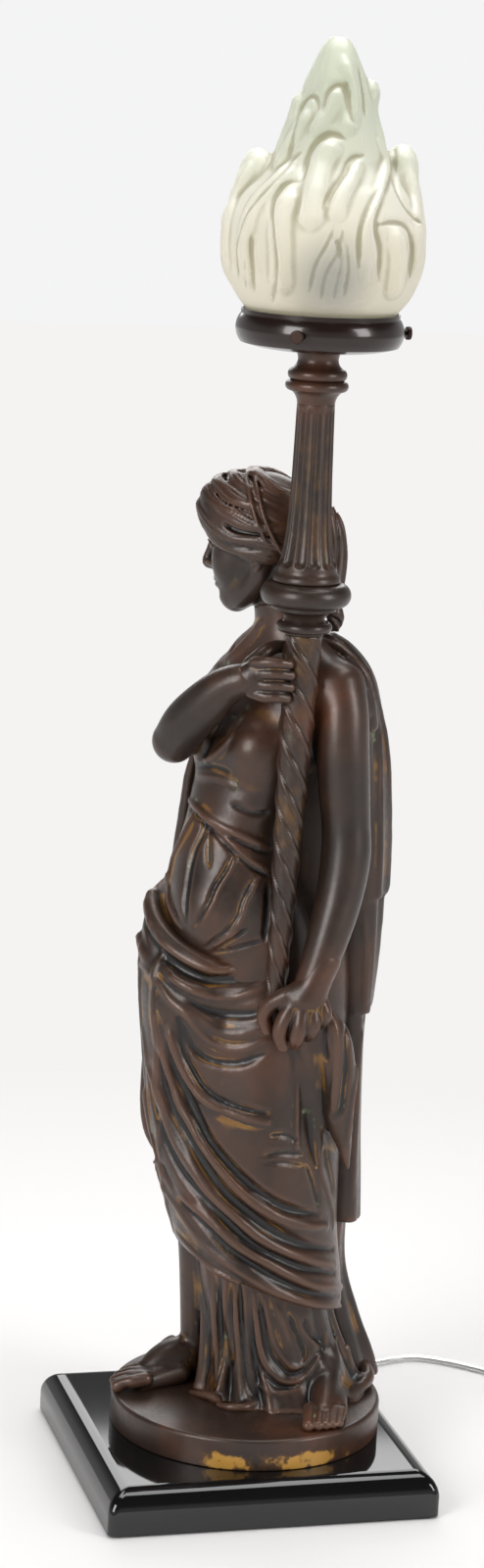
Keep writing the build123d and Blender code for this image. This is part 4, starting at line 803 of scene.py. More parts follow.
left_hand.chain([
    (28, -29, 353, 7.4), (18, -31, 349, 6.4), (9, -30, 343, 5.6), (5, -29, 334, 5.0),
    (8, -30, 325, 4.2),
], soft=2.2)

# ---------------------------------------------------------------- glass flame

GLASS_WALL = 3.2
LIP = 788.6  # the glass rests in its ring here
flame = Clay((-58, -80, 786), (96, 74, 992), 1.5)
flame.stack([
    (788.4, 18.3, -3.7, 49.2, 49.2, 0), (800, 18.3, -3.7, 49.2, 49.2, 0),
    (809.5, 18.3, -3.7, 50.4, 50.4, 0), (814, 18.4, -3.7, 54.0, 54.0, 0),
    (820, 18.6, -3.7, 58.2, 58.2, 0), (830, 18.0, -3.7, 63.0, 62.5, 0),
    (840, 17.6, -3.7, 65.6, 65.0, 0), (853, 17.2, -3.7, 67.0, 66.3, 0),
    (870, 17.4, -3.7, 65.6, 65.0, 0), (885, 18.0, -3.7, 57.0, 59.0, 0),
    (896, 18.6, -3.7, 47.0, 51.0, 0), (906, 19.2, -3.7, 39.0, 43.0, 0),
    (917, 19.6, -3.7, 35.5, 38.0, 0), (930, 19.6, -3.7, 31.0, 33.0, 0),
    (945, 21.0, -3.7, 25.0, 27.0, 0), (960, 20.6, -3.7, 19.5, 21.0, 0),
    (972, 20.6, -3.7, 14.0, 14.5, 0), (980, 20.6, -3.7, 10.0, 9.6, 0),
    (985.6, 20.6, -3.7, 5.0, 4.6, 0),
], soft=0.5)
# Side lobes, which make the notches of the outline
LOBES = [
    [(-26, -6, 842, 23), (-26, -7, 866, 21), (-26, -7, 886, 17), (-27, -6, 899, 12.2),
     (-28, -4, 905, 7.6)],
    [(60, -6, 845, 24), (61, -4, 872, 21.5), (63, 0, 893, 15), (65, 2, 905, 12), (66, 3, 911, 8.2)],
    [(44, -12, 920, 10), (41, -8, 938, 7.2), (42.5, -6, 950, 6.8), (42.5, -5, 954, 5.6)],
    [(2, -12, 905, 13), (-0.5, -12, 926, 11), (-1, -11, 938, 8), (-2, -10, 942, 6.4)],
    [(20, 40, 850, 24), (24, 42, 880, 17), (28, 36, 905, 11), (30, 30, 922, 5)],
    [(-22, 30, 845, 22), (-16, 32, 872, 16), (-8, 28, 896, 10), (-4, 24, 912, 5)],
    [(56, 34, 850, 18), (54, 32, 878, 13), (48, 26, 900, 8), (44, 20, 915, 4)],
    [(30, 18, 925, 10), (28, 12, 942, 7), (25, 6, 956, 4)],
]
for lobe in LOBES:
    flame.chain(lobe, soft=2.6)
# Tongues in relief on the seen side
TONGUES = [
    ([(-30, 822), (-34, 850), (-30, 872), (-22, 884), (-14, 892), (-6, 903)], 7.5),
    ([(-8, 818), (-10, 845), (-11, 868), (-6, 884)], 8.5),
    ([(8, 862), (10, 885), (14, 905), (20, 917)], 8.5),
    ([(24, 868), (28, 884), (34, 897), (37, 905)], 6.0),
    ([(46, 826), (45, 850), (46, 868), (54, 890), (55, 908), (50, 920)], 5.4),
    ([(66, 822), (67, 845), (64, 860)], 9.0),
    ([(-16, 900), (-8, 916), (2, 936)], 6.0),
    ([(8, 922), (16, 938), (21, 950)], 6.0),
    ([(28, 922), (33, 940), (31, 956), (24, 972)], 5.0),
    ([(-44, 830), (-46, 856), (-42, 880), (-34, 900)], 6.0),
    ([(76, 832), (79, 858), (76, 882), (72, 902)], 6.0),
]
flame.strokes(TONGUES, swell=1.12, sink=0.54, soft=1.6, taper=(0.25, 0.5))
GLASS_GROOVES = [
    ([(-14, 812), (-12.5, 835), (-16, 858), (-17, 876), (-10, 890), (0, 892)], 1.8),
    ([(-37, 826), (-39, 850), (-35, 868), (-26, 881), (-14, 895), (-4, 908), (2, 912)], 1.8),
    ([(2, 893), (4, 908), (10, 919), (20, 924), (29, 920)], 1.8),
    ([(16, 876), (22, 888), (29, 899), (32, 908), (41, 911)], 1.6),
    ([(41, 912), (44, 921), (52, 925), (60, 918), (61, 904), (56, 886), (51, 868), (55, 850),
     (55, 830)], 1.8),
    ([(42, 838), (41, 860), (46, 878), (55, 895)], 1.5),
    ([(52, 866), (62, 869), (72, 866), (76, 850), (76, 832)], 1.7),
    ([(60, 905), (63, 890), (72, 876), (82, 868)], 1.6),
    ([(-8, 905), (-6, 925), (0, 943), (7, 948), (10, 938)], 1.6),
    ([(12, 936), (15, 950), (24, 956), (28, 946)], 1.6),
    ([(27, 958), (30, 940), (34, 930)], 1.5),
    ([(34, 968), (38, 952), (40, 936)], 1.4),
    ([(-26, 818), (-29, 838), (-30, 856)], 1.2),
    ([(-32, 822), (-34, 840)], 1.1),
    ([(10, 820), (13, 838), (20, 852), (24, 864)], 1.2),
    ([(18, 815), (20, 832), (27, 846), (30, 862)], 1.2),
    ([(26, 815), (29, 832), (30, 845), (24, 858)], 1.2),
    ([(33, 818), (35, 838), (32, 856)], 1.2),
]
flame.strokes(GLASS_GROOVES, swell=1.55, sink=0.55, soft=1.2, cut=True)
# Tongues round the far side, each with the groove that runs up its side and over its tip
FAR_SIDE = {"side": "round", "centre": TORCH}
for angle, top in [(18, 880), (42, 912), (68, 890), (95, 920), (120, 886), (142, 908), (165, 885)]:
    tongue = [(angle - 4, 822), (angle - 6, 850), (angle + 2, top - 22), (angle - 2, top)]
    flame.stroke(tongue, 7.5, sink=0.6, soft=2.6, taper=(0.25, 0.4), **FAR_SIDE)
    past = [(-17, 818), (-18, 848), (-10, top - 20), (-6, top + 3), (4, top + 2), (12, top - 18)]
    groove = [(angle + turn, z) for turn, z in past]
    flame.stroke(groove, 1.8, sink=0.55, soft=2.0, cut=True, **FAR_SIDE)
outside = flame.field.copy()
flame.field = np.maximum(outside, -(outside + GLASS_WALL)).astype(np.float32)
flame.trim((0, 0, LIP), (0, 0, -1), soft=0.4)

# ---------------------------------------------------------------- clay to meshes

PIECES = [
    ("mantle_cloth", mantle, "mantle_skirt", "mantle_fall"),
    ("underskirt_and_feet", underskirt, "underskirt", "right_leg", "left_foot"),
    ("torso_and_arms", torso, "torso", "right_arm", "left_arm"),
    ("cloak_cloth", cloak, "cloak"),
    ("head_and_hair", head, "head", "hair", "hair_ribbon"),
    ("right_hand_cast", right_hand, "right_hand"),
    ("left_hand_cast", left_hand, "left_hand"),
]
for name, clay, *nodes in PIECES:
    place_piece(clay.piece(name), "lamp", "bronze", *nodes)
place_piece(flame.piece("flame_glass", outside), "shade", "frosted_glass", "flame_shade")

# ---------------------------------------------------------------- column and twisted staff

COLUMN_FOOT, COLUMN_TOP, COLUMN_FLUTES = 629.0, 748.0, 12
FLUTE_DEPTH = 0.115  # as a share of the column's radius
STAFF_FOOT, STAFF_TOP = (12.3, -18.0, 340.0), (18.3, -3.7, 594.0)
STAFF_THIN, STAFF_THICK = 6.4, 12.6
STAFF_BANDS, STAFF_LEAD = 4, 96.0
PIPE_HOLE = 5.1
TURNED_HOLLOW = 0.3  # how strongly the relief of a turned piece counts as hollow


def turned_piece(name, node, rows, around, axis, radius, relief, hole=None):
    """A closed round body from radius(angles, height) about axis(height), perhaps with a bore."""
    angles = np.linspace(0, 2 * math.pi, around, endpoint=False)
    circle = np.column_stack((np.cos(angles), np.sin(angles), np.zeros(around)))
    places = [np.add(axis(h), radius(angles, h)[:, None] * circle) for h in rows]
    k = np.arange(around)
    after = (k + 1) % around
    last, count = (len(rows) - 1) * around, len(rows) * around
    bands = [
        (low + k, low + after, low + around + after, low + around + k)
        for low in range(0, last, around)
    ]
    ends = axis(rows[0]), axis(rows[-1])
    if hole:
        places += [np.add(end, hole * circle) for end in ends]
        high = count + around
        bands.append((k, count + k, count + after, after))
        bands.append((last + k, last + after, high + after, high + k))
        bands.append((count + k, high + k, high + after, count + after))
    else:
        places.append(ends)
        bands.append((k, count + 0 * k, after))
        bands.append((last + k, last + after, count + 1 + 0 * k))
    faces = [face for band in bands for face in np.column_stack(band).tolist()]
    made = new_mesh(name, to_row(np.vstack(places)), faces)
    hollow = np.zeros(len(made.data.vertices), np.float32)
    hollow[:count] = np.concatenate([relief(angles, h) for h in rows])
    for label in RELIEF_SIZES:
        layer = made.data.attributes.new(label, "FLOAT", "POINT")
        layer.data.foreach_set("value", hollow * TURNED_HOLLOW)
    place_piece(made, "lamp", "bronze", node)


def flute_depth(angles, height):
    """Round flutes with narrow lands, which end in a round foot."""
    across = np.abs((angles * COLUMN_FLUTES / (2 * math.pi)) % 1 - 0.5) * 2
    rise = height - COLUMN_FOOT
    bed = np.sqrt(np.clip(1 - (across / 0.8) ** 2, 0, 1))
    foot = np.clip((rise - 11 - 3.0 * across**2) / 3.5, 0, 1)
    top = np.clip((116.5 - rise - 3.0 * across**2) / 3.0, 0, 1)
    return bed * np.sqrt(foot * top)


def column_surface(angles, height):
    """A spreading foot ring, a cove and a slender fluted shaft."""
    rises = [0, 1.5, 4, 6.5, 8, 11, 16, 24, 34, 48, 70, 100, 119]
    radii = [22.0, 22.8, 22.4, 20.6, 20.2, 19.9, 18.2, 16.6, 15.3, 14.3, 13.5, 12.9, 12.6]
    radius = np.interp(height - COLUMN_FOOT, rises, radii)
    return radius - radius * FLUTE_DEPTH * flute_depth(angles, height)


def up_the_staff(height):
    """Which share of the staff's length a height is at."""
    return (height - STAFF_FOOT[2]) / (STAFF_TOP[2] - STAFF_FOOT[2])


def staff_axis(height):
    """The middle of the leaning staff at a height."""
    share = up_the_staff(height)
    return tuple(f + (t - f) * share for f, t in zip(STAFF_FOOT, STAFF_TOP))


def band_relief(angles, height):
    """Twisted ribbons: a raised rounded border beside a groove, then a slightly hollow band."""
    share = ((angles / (2 * math.pi) + height / STAFF_LEAD) * STAFF_BANDS) % 1
    border = np.exp(-(((share - 0.14) / 0.07) ** 2))
    groove = np.exp(-(((share - 0.30) / 0.055) ** 2))
    groove += 0.7 * np.exp(-((share / 0.04) ** 2))
    groove += 0.7 * np.exp(-(((share - 1.0) / 0.04) ** 2))
    band = 0.35 * np.cos(2 * math.pi * (share - 0.65))
    return 1.05 * border - 1.25 * groove - 0.6 * band


def staff_surface(angles, height):
    """The tapering staff's radius, calmer towards its ends."""
    share = up_the_staff(height)
    calm = min(1.0, (STAFF_TOP[2] - height) / 6.0) * (0.7 + 0.3 * share)
    radius = STAFF_THIN + (STAFF_THICK - STAFF_THIN) * share
    return radius + calm * band_relief(angles, height)


column_rows = np.concatenate([
    np.linspace(COLUMN_FOOT, COLUMN_FOOT + 30, 40),
    np.linspace(COLUMN_FOOT + 32, COLUMN_TOP - 8, 34),
    np.linspace(COLUMN_TOP - 7, COLUMN_TOP, 12),
])
staff_rows = np.linspace(STAFF_FOOT[2], STAFF_TOP[2], 150)
turned_piece("column_cast", "fluted_column", column_rows, 288, lambda h: (*TORCH, h),
             column_surface, lambda angles, h: flute_depth(angles, h) - 0.5, hole=PIPE_HOLE)
turned_piece("staff_cast", "twisted_staff", staff_rows, 144, staff_axis, staff_surface,
             lambda angles, h: -band_relief(angles, h))

# ---------------------------------------------------------------- cord

# The flex's route in mm: to the switch, on to the coil, and from it to the plug
FREE_ROUTE = [
    (50, 116, 8), (50, 147, 8), (56.5, 165.5, 4.8), (73.5, 177, 2.7), (95, 175, 2.7),
    (111, 166.5, 2.7), (128, 160.5, 2.7), (147, 160, 2.7), (168, 168.5, 2.7), (188, 171, 2.7),
    (207, 160.5, 2.7), (222, 147, 2.7), (235, 134, 2.7), (245, 122, 4.6), (250, 109, 7.5),
    (250, 95, 7.5),
]
MIDDLE_ROUTE = [
    (250, 72, 7.5), (250, 49, 7.5), (250, 38, 7.5), (250.5, 26, 4.3), (250, 14, 2.7), (250, 4, 2.7),
]
TAIL_ROUTE = [(255.5, -6, 8.2), (255.5, -18, 8.2), (252.5, -31, 8.2), (246, -43, 8.2)]
COIL_Y, COIL_PITCH, COIL_HALF_TURNS = -1.0, 5.5, 7
COIL_LEFT, COIL_MIDDLE_RADIUS = 250.0, 29.0
COIL_LOWEST = 2.7
POINTS_A_HALF_TURN = 8
# Flat twin flex and its two wires, in metres
TWIN_WIDE, TWIN_THICK, WIRE_RADIUS = 0.0050, 0.0027, 0.00078


def coil_points():
    """The put-away coil: one flat spiral in, a climb, and one flat spiral out on top."""
    left = COIL_LEFT
    right = left + 2 * (COIL_MIDDLE_RADIUS + COIL_PITCH * COIL_HALF_TURNS / 4)
    spans = []
    for index in range(COIL_HALF_TURNS):
        spans.append((left, right, index % 2, 0.0, 0.0))
        if index % 2:
            right -= COIL_PITCH
        elif index < COIL_HALF_TURNS - 1:
            left += COIL_PITCH
    left += COIL_PITCH
    spans.append((left, right, 1, 0.0, 1.0))
    for index in range(COIL_HALF_TURNS - 1):
        if index % 2:
            left -= COIL_PITCH
        else:
            right += COIL_PITCH
        spans.append((left, right, index % 2, 1.0, 1.0))
    points = []
    for left, right, upper, low, high in spans:
        middle, radius = (left + right) / 2, (right - left) / 2
        for step in range(POINTS_A_HALF_TURN):
            share = step / POINTS_A_HALF_TURN
            turn = math.pi * share if upper else math.pi + math.pi * share
            level = low + (high - low) * (0.5 - 0.5 * math.cos(math.pi * share))
            points.append((middle + radius * math.cos(turn), COIL_Y + radius * math.sin(turn),
                           COIL_LOWEST + COIL_PITCH * level))
    return points


def curve_through(route):
    """The places in metres that a smooth curve through control points in mm runs through."""
    curve = bpy.data.curves.new("guide", "CURVE")
    curve.dimensions = "3D"
    curve.resolution_u = curve.render_resolution_u = 6
    spline = curve.splines.new("NURBS")
    spline.points.add(len(route) - 1)
    for point, place in zip(spline.points, route):
        point.co = (*[c * MM for c in place], 1.0)
    spline.order_u = 3
    spline.use_endpoint_u = True
    guide = bpy.data.objects.new("guide", curve)
    bpy.context.collection.objects.link(guide)
    bpy.context.view_layer.update()
    graph = bpy.context.evaluated_depsgraph_get()
    mesh = bpy.data.meshes.new_from_object(guide.evaluated_get(graph), depsgraph=graph)
    places = np.array([v.co[:] for v in mesh.vertices])
    bpy.data.meshes.remove(mesh)
    bpy.data.objects.remove(guide)
    return places


def swept(name, path, sections):
    """A mesh of closed sections (across, above) in metres, swept along a path of points."""
    along = np.gradient(path, axis=0)
    along /= np.linalg.norm(along, axis=1, keepdims=True)
    points, faces = [], []
    for section in sections:
        start, size = len(points), len(section)
        for place, way in zip(path, along):
            across = np.cross(way, (0.0, 0.0, 1.0))
            across /= np.linalg.norm(across)
            up = np.cross(across, way)
            points.extend(place + across * a + up * b for a, b in section)
        for row in range(start, start + (len(path) - 1) * size, size):
            for k in range(size):
                here, beside = row + k, row + (k + 1) % size
                faces.append((here, beside, beside + size, here + size))
        faces.append(tuple(start + k for k in range(size))[::-1])
        faces.append(tuple(len(points) - size + k for k in range(size)))
    made = new_mesh(name, points, faces)
    place_piece(made, "lamp", "cord")
    return made


def arc(radius, offset, turns):
    """Points of a section on a circle beside the flex's middle."""
    return [(offset + radius * math.cos(turn), radius * math.sin(turn)) for turn in turns]


flex_path = curve_through(FREE_ROUTE + MIDDLE_ROUTE + coil_points() + TAIL_ROUTE)
# Two round lobes joined by a thin web, and a wire in the middle of each lobe
lobe = TWIN_THICK / 2
beside = TWIN_WIDE / 2 - lobe
right_lobe, left_lobe = (
    arc(lobe, side * beside, [math.radians(first + 250 * k / 9) for k in range(10)])
    for side, first in ((1, -125), (-1, 55))
)
eighths = [2 * math.pi * k / 8 for k in range(8)]
flex = swept("flex_sheath", flex_path, [right_lobe + left_lobe])
conductors = swept("flex_conductors", flex_path,
                   [arc(WIRE_RADIUS, side * beside, eighths) for side in (1, -1)])
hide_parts("cord_free", "cord_middle", "cord_coil", "cord_tail")
[c * MM for c in FREE_ROUTE[0]]

# ---------------------------------------------------------------- materials


def tone(code):
    """A colour written as hex sRGB, as linear RGBA."""
    parts = [int(code[k : k + 2], 16) / 255 for k in (1, 3, 5)]
    linear = [p / 12.92 if p <= 0.04045 else ((p + 0.055) / 1.055) ** 2.4 for p in parts]
    return (*linear, 1.0)


def add_node(tree, kind, label, links=None, **settings):
    """Adds a node; settings are its properties or inputs, and links feed its inputs."""
    made = tree.nodes.new("ShaderNode" + kind)
    made.name = made.label = label
    for key, value in settings.items():
        if hasattr(made, key):
            setattr(made, key, value)
        else:
            made.inputs[key.replace("_", " ")].default_value = value
    for key, source in (links or {}).items():
        tree.links.new(source, made.inputs[key])
    return made


def new_material(name, **inputs):
    """A node material with one surface shader, its tree and the shader."""
    material = bpy.data.materials.new(name)
    material.use_nodes = True
    tree = material.node_tree
    tree.nodes.clear()
    shader = add_node(tree, "BsdfPrincipled", "surface", **inputs)
    add_node(tree, "OutputMaterial", "output", links={"Surface": shader.outputs[0]})
    return material, tree, shader


def object_space(tree):
    """Places in metres on the piece itself."""
    return add_node(tree, "TexCoord", "object space").outputs["Object"]


def attribute(tree, name):
    """How hollow each place is, as written on the mesh."""
    return add_node(tree, "Attribute", name, attribute_name=name).outputs["Fac"]


def noise(tree, label, places, scale, detail=4.0, roughness=0.55):
    """Soft noise over object space; scale is patches a metre."""
    settings = {"Scale": scale, "Detail": detail, "Roughness": roughness}
    return add_node(tree, "TexNoise", label, links={"Vector": places}, **settings).outputs[0]


def ramp(tree, label, source, stops):
    """A ramp of (place, hex colour or grey value) stops, fed by source."""
    made = add_node(tree, "ValToRGB", label, links={0: source})
    while len(made.color_ramp.elements) < len(stops):
        made.color_ramp.elements.new(0.5)
    for element, (place, code) in zip(made.color_ramp.elements, stops):
        element.position = place
        element.color = tone(code) if isinstance(code, str) else (code, code, code, 1)
    return made.outputs[0]


def spread(tree, label, source, low, high, stops):
    """A ramp over the values between low and high."""
    share = add_node(tree, "MapRange", "share: " + label, links={"Value": source},
                     From_Min=low, From_Max=high).outputs[0]
    return ramp(tree, label, share, stops)


def times(tree, label, first, second):
    """The product of an output and another output or a number."""
    made = add_node(tree, "Math", label, operation="MULTIPLY", links={0: first})
    if isinstance(second, float):
        made.inputs[1].default_value = second
    else:
        tree.links.new(second, made.inputs[1])
    return made.outputs[0]


def mixed(tree, label, share, first, second):
    """The first colour, an output, turned to the second, a hex code, by a share."""
    made = add_node(tree, "Mix", label, data_type="RGBA", links={0: share, 6: first})
    made.inputs[7].default_value = tone(second)
    return made.outputs[2]


def bronze(name, carved, stained=1.0):
    """Chocolate patina, brown where rubbed, with ochre and green in the hollows; the hollows are
    also painted near black as shade.

    The eye gets a dark waxed metal: soft broad highlights, and thin bright ones on the ridges.
    """
    material, tree, shader = new_material(
        name, Metallic=0.25, Specular_IOR_Level=0.5, Coat_Weight=0.3, Coat_Roughness=0.24
    )
    places = object_space(tree)
    fine = noise(tree, "fine tone", places, 260, 5)
    base = ramp(tree, "brown of the patina", noise(tree, "broad tone", places, 16, 3),
                [(0.32, "#241A15"), (0.47, "#31221A"), (0.58, "#40291D"), (0.7, "#523120")])
    if carved:
        hollow = attribute(tree, "hollow")
        raised = times(tree, "raised", attribute(tree, "crease"), -1.0)
        rub = ramp(tree, "rubbed edges", raised, [(0.1, 0.0), (0.5, 0.5)])
        base = mixed(tree, "rubbed brown", rub, base, "#644634")
        near = ramp(tree, "beside the recess", hollow,
                    [(0.0, 0.0), (0.05, 1.0), (0.2, 1.0), (0.32, 0.0)])
        patches = noise(tree, "ochre patches", places, 26, 4, 0.6)
        stain = ramp(tree, "ochre share", patches, [(0.5, 0.0), (0.6, 0.8 * stained)])
        stain = times(tree, "ochre in recess", near, stain)
        base = mixed(tree, "ochre", stain, base, "#80591F")
        specks = noise(tree, "green specks", places, 60, 5, 0.65)
        spot = ramp(tree, "green share", specks, [(0.62, 0.0), (0.69, 0.75 * stained)])
        spot = times(tree, "green in recess", near, spot)
        base = mixed(tree, "verdigris", spot, base, "#6F7B5C")
        # Painted shade: the more hollow a place is, the nearer to black it is painted
        deep = ramp(tree, "deep", hollow, [(0.08, 0.0), (0.3, 0.95)])
        base = mixed(tree, "painted shade in the hollows", deep, base, "#0A0706")
    tree.links.new(base, shader.inputs["Base Color"])
    rough = ramp(tree, "sheen", fine, [(0.3, 0.34), (0.7, 0.48)])
    tree.links.new(rough, shader.inputs["Roughness"])
    grain = add_node(tree, "Bump", "casting grain", links={"Height": fine},
                     Strength=0.12, Distance=0.0006)
    tree.links.new(grain.outputs[0], shader.inputs["Normal"])
    return material


def worn_plinth():
    """The plinth's bronze, with bright brass where its lower front rim has been rubbed."""
    material = bronze("worn plinth bronze", False)
    tree = material.node_tree
    colour = tree.nodes["surface"].inputs["Base Color"]
    base = colour.links[0].from_socket
    places = tree.nodes["object space"].outputs["Object"]
    x, y, z = add_node(tree, "SeparateXYZ", "place", links={0: places}).outputs
    band = spread(tree, "rim band", z, 0.03, 0.055,
                  [(0.0, 0.4), (0.16, 1.0), (0.42, 0.9), (0.62, 0.0)])
    side = spread(tree, "front of the rim", x, -0.08, 0.1,
                  [(0.16, 0.0), (0.24, 0.95), (0.36, 0.8), (0.42, 0.35), (0.5, 1.0), (0.68, 0.95),
                   (0.82, 0.0)])
    front = spread(tree, "near side", y, -0.1, 0.1, [(0.3, 1.0), (0.42, 0.0)])
    worn = times(tree, "and near", times(tree, "band and side", band, side), front)
    rub = noise(tree, "rubbing", places, 90, 5, 0.6)
    total = add_node(tree, "Math", "and rubbed", operation="MULTIPLY_ADD", links={0: worn, 2: rub})
    total.inputs[1].default_value = 0.42
    haze = ramp(tree, "ochre round it", total.outputs[0], [(0.62, 0.0), (0.82, 0.8)])
    share = ramp(tree, "bare metal", total.outputs[0], [(0.76, 0.0), (0.86, 1.0)])
    worn = mixed(tree, "ochre edge", haze, base, "#5E3F20")
    tree.links.new(mixed(tree, "brass", share, worn, "#B98A3C"), colour)
    return material


def frosted_glass():
    """Acid-etched pressed glass, cream low down and sage towards the tip.

    The eye gets a milky, silky body that light seeps through, with shade painted darker into its
    hollows and creases.
    """
    material, tree, shader = new_material(
        "etched flame glass", Roughness=0.55, Specular_IOR_Level=0.35, Transmission_Weight=0.35
    )
    places = object_space(tree)
    z = add_node(tree, "SeparateXYZ", "height", links={0: places}).outputs[2]
    tint = spread(tree, "cream to sage", z, 0.81, 0.97,
                  [(0.0, "#ECE6D3"), (0.4, "#F4F1E5"), (0.75, "#DCDFCF"), (1.0, "#D6DAC8")])
    # Painted shade: the glass is painted darker in its broad hollows and in its creases
    wide = ramp(tree, "painted shade in the glass hollows", attribute(tree, "hollow"),
                [(0.0, 0.0), (0.4, 0.6)])
    tint = mixed(tree, "hollows", wide, tint, "#BDBAA2")
    deep = ramp(tree, "painted shade in the glass creases", attribute(tree, "crease"),
                [(0.02, 0.0), (0.4, 0.6)])
    tint = mixed(tree, "creases", deep, tint, "#A39C7E")
    # Painted shade: a grey spot round this place stands for the dark holder seen through the glass
    away = add_node(tree, "VectorMath", "away", operation="DISTANCE", links={0: places})
    away.inputs[1].default_value = HOLDER_SHADE_PLACE
    grey = ramp(tree, "painted holder shade", away.outputs["Value"], [(0.008, 0.6), (0.034, 0.0)])
    tint = mixed(tree, "grey of the painted holder shade", grey, tint, "#A4A6A4")
    tree.links.new(tint, shader.inputs["Base Color"])
    glow = add_node(tree, "BsdfTranslucent", "light through", links={"Color": tint})
    both = add_node(tree, "MixShader", "milky", links={1: shader.outputs[0], 2: glow.outputs[0]})
    both.inputs[0].default_value = 0.35
    tree.links.new(both.outputs[0], tree.nodes["output"].inputs["Surface"])
    return material


def dress(material, *names):
    """Gives the material to pieces or CAD nodes by name."""
    for name in names:
        thing = bpy.data.objects[name]
        thing.data.materials.clear()
        thing.data.materials.append(material)


# Low on the near side the glass is thin, and a grey spot of painted shade stands for the dark
# holder seen through it
HOLDER_SHADE_PLACE = (0.0051, -0.070, 0.832)
# Even finishes: name, colour, metallic, roughness, other inputs, and what they dress
FINISHES = [
    # Near-black brown under a thin lacquer, which gives the ring crisp window highlights
    ("polished bronze ring", "#20130E", 0.3, 0.24, {"Coat_Weight": 0.5, "Coat_Roughness": 0.1},
     ["gallery_ring"]),
    # A black mirror: the floor and the plinth show in it
    ("polished black stone", "#0B0B0C", 0, 0.06, {"Specular_IOR_Level": 0.7}, ["slab_base"]),
    # Dull and dark, a soft line under the slab
    ("dark felt", "#202022", 0, 0.95, {}, ["felt_pad"]),
    # Dark metal with small sharp glints
    ("browned brass screw", "#301F16", 0.6, 0.3, {},
     ["thumbscrew_1", "thumbscrew_2", "thumbscrew_3"]),
    # Grey metal, softly bright
    ("zinc plated steel", "#A8A8A2", 1, 0.35, {},
     ["base_nipple", "base_nut", "base_washer", "torch_pipe", "lock_nut"]),
    # Warm yellow metal, brighter along its bends
    ("pressed brass", "#B08D4A", 1, 0.3, {},
     ["socket_cap", "socket_shell", "screw_shell", "centre_contact", "plug_blades"]),
    # Off-white with a glazed shine
    ("glazed porcelain", "#E4E1D8", 0, 0.3, {}, ["socket_insulator"]),
    # Pale grey metal, a little dull
    ("rolled aluminium", "#B9BABA", 1, 0.4, {}, ["bulb_base"]),
    # An even white, without a sharp highlight
    ("frosted bulb", "#EFEFEA", 0, 0.5, {}, ["bulb_glass"]),
    # Clear plastic that shows the wires' grey through it
    ("clear moulding", "#DDE0E0", 0, 0.15, {"Transmission_Weight": 0.7, "IOR": 1.5},
     ["switch_body", "plug_body", "strain_relief"]),
    # Matt white plastic
    ("switch wheel", "#E2E2DE", 0, 0.5, {}, ["switch_wheel"]),
    # Pale grey insulation
    ("inner lead", "#C9CBCC", 0, 0.3, {}, ["inner_lead"]),
    # Glass-clear sheath with a line of light along each lobe
    ("clear flex", "#F2F4F4", 0, 0.12, {"Transmission_Weight": 0.92, "IOR": 1.46},
     ["flex_sheath"]),
    # Silvery strands inside the sheath
    ("tinned copper", "#B9B7B4", 1, 0.32, {}, ["flex_conductors"]),
]
dress(bronze("carved bronze patina", True), "mantle_cloth", "underskirt_and_feet",
      "torso_and_arms", "cloak_cloth", "right_hand_cast", "left_hand_cast")
dress(bronze("bronze of the head", True, stained=0.25), "head_and_hair")
dress(bronze("bronze of the torch", True, stained=0.4), "column_cast", "staff_cast")
dress(bronze("turned bronze patina", False), "staff_knob", "staff_collar", "torch_torus",
      "column_cap")
dress(worn_plinth(), "plinth")
dress(frosted_glass(), "flame_glass")
for name, colour, metallic, roughness, inputs, names in FINISHES:
    base = {"Base_Color": tone(colour), "Metallic": metallic, "Roughness": roughness}
    dress(new_material(name, **base, **inputs)[0], *names)

# ---------------------------------------------------------------- stage and light

# The floor's corners in metres, and its top just under the pad, so that the two don't flicker
floor = new_mesh("floor", [(-6, -6, 0), (6, -6, 0), (6, 9, 0), (-6, 9, 0)], [(0, 1, 2, 3)], False)
floor.location.z = -0.0002


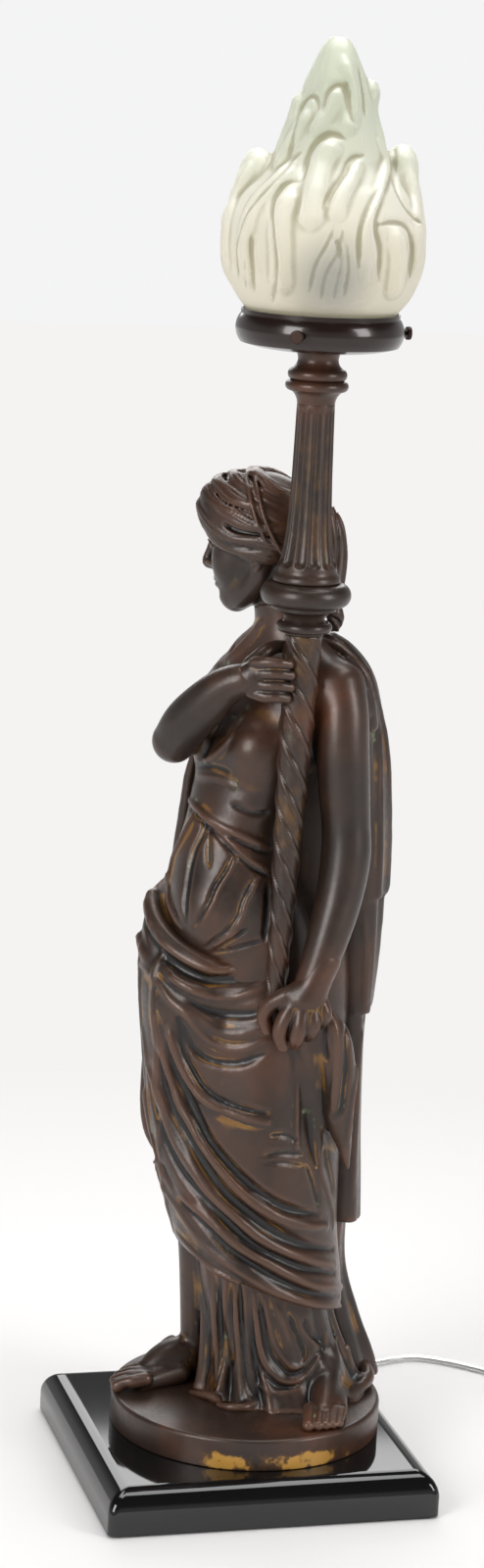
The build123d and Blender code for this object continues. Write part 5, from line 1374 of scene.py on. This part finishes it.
def white_sweep():
    """White paper that is matt round the lamp and glows evenly further out, as a lit sweep does."""
    material, tree, shader = new_material(
        "white sweep", Base_Color=tone("#DAD8D7"), Roughness=0.95, Specular_IOR_Level=0.1
    )
    reach = add_node(tree, "VectorMath", "reach", operation="LENGTH",
                     links={0: object_space(tree)}).outputs["Value"]
    share = ramp(tree, "glow share", reach, [(0.45, 0.0), (0.95, 1.0)])
    glow = add_node(tree, "Emission", "glow", Color=tone("#F4F3F2"), Strength=1.0)
    both = add_node(tree, "MixShader", "sweep",
                    links={0: share, 1: shader.outputs[0], 2: glow.outputs[0]})
    tree.links.new(both.outputs[0], tree.nodes["output"].inputs["Surface"])
    return material


dress(white_sweep(), "floor")

world = bpy.data.worlds.new("studio")
bpy.context.scene.world = world
world.use_nodes = True
tree = world.node_tree
tree.nodes.clear()
path = add_node(tree, "LightPath", "ray kind")
soft = add_node(tree, "Background", "fill light", Color=tone("#E9EAEC"), Strength=0.62)
ways = add_node(tree, "TexCoord", "direction")
rise = add_node(tree, "SeparateXYZ", "rise", links={0: ways.outputs["Generated"]})
dim = ramp(tree, "bright walls, dark ceiling", rise.outputs[2],
           [(0.0, 0.42), (0.22, 0.36), (0.42, 0.07), (1.0, 0.04)])
mirrored = add_node(tree, "Background", "what the bronze mirrors", links={"Color": dim},
                    Strength=1.0)
seen = add_node(tree, "Background", "backdrop", Color=tone("#F4F4F5"), Strength=1.0)
lit = add_node(tree, "MixShader", "lit or mirrored",
               links={0: path.outputs["Is Glossy Ray"], 1: soft.outputs[0], 2: mirrored.outputs[0]})
choice = add_node(tree, "MixShader", "seen or lit",
                  links={0: path.outputs["Is Camera Ray"], 1: lit.outputs[0], 2: seen.outputs[0]})
add_node(tree, "OutputWorld", "output", links={"Surface": choice.outputs[0]})

LAMP_MIDDLE = Vector((0.0, 0.0, 0.45))
# Name, place, width and height in metres, and watts
SOFTBOXES = [
    ("left softbox", (-2.2, -1.6, 1.6), 1.2, 1.8, 55),
    ("right softbox", (2.0, -1.9, 1.7), 1.0, 1.6, 38),
    ("top softbox", (0.2, 0.2, 2.6), 1.6, 1.6, 34),
    ("back light", (0.4, 2.4, 1.8), 2.0, 1.4, 26),
]
for name, place, wide, high, watts in SOFTBOXES:
    data = bpy.data.lights.new(name, "AREA")
    data.shape = "RECTANGLE"
    data.size, data.size_y, data.energy = wide, high, watts
    light = bpy.data.objects.new(name, data)
    bpy.context.collection.objects.link(light)
    light.location = place
    light.rotation_mode = "QUATERNION"
    light.rotation_quaternion = (LAMP_MIDDLE - Vector(place)).to_track_quat("-Z", "Y")

bpy.context.scene.view_settings.view_transform = "Standard"
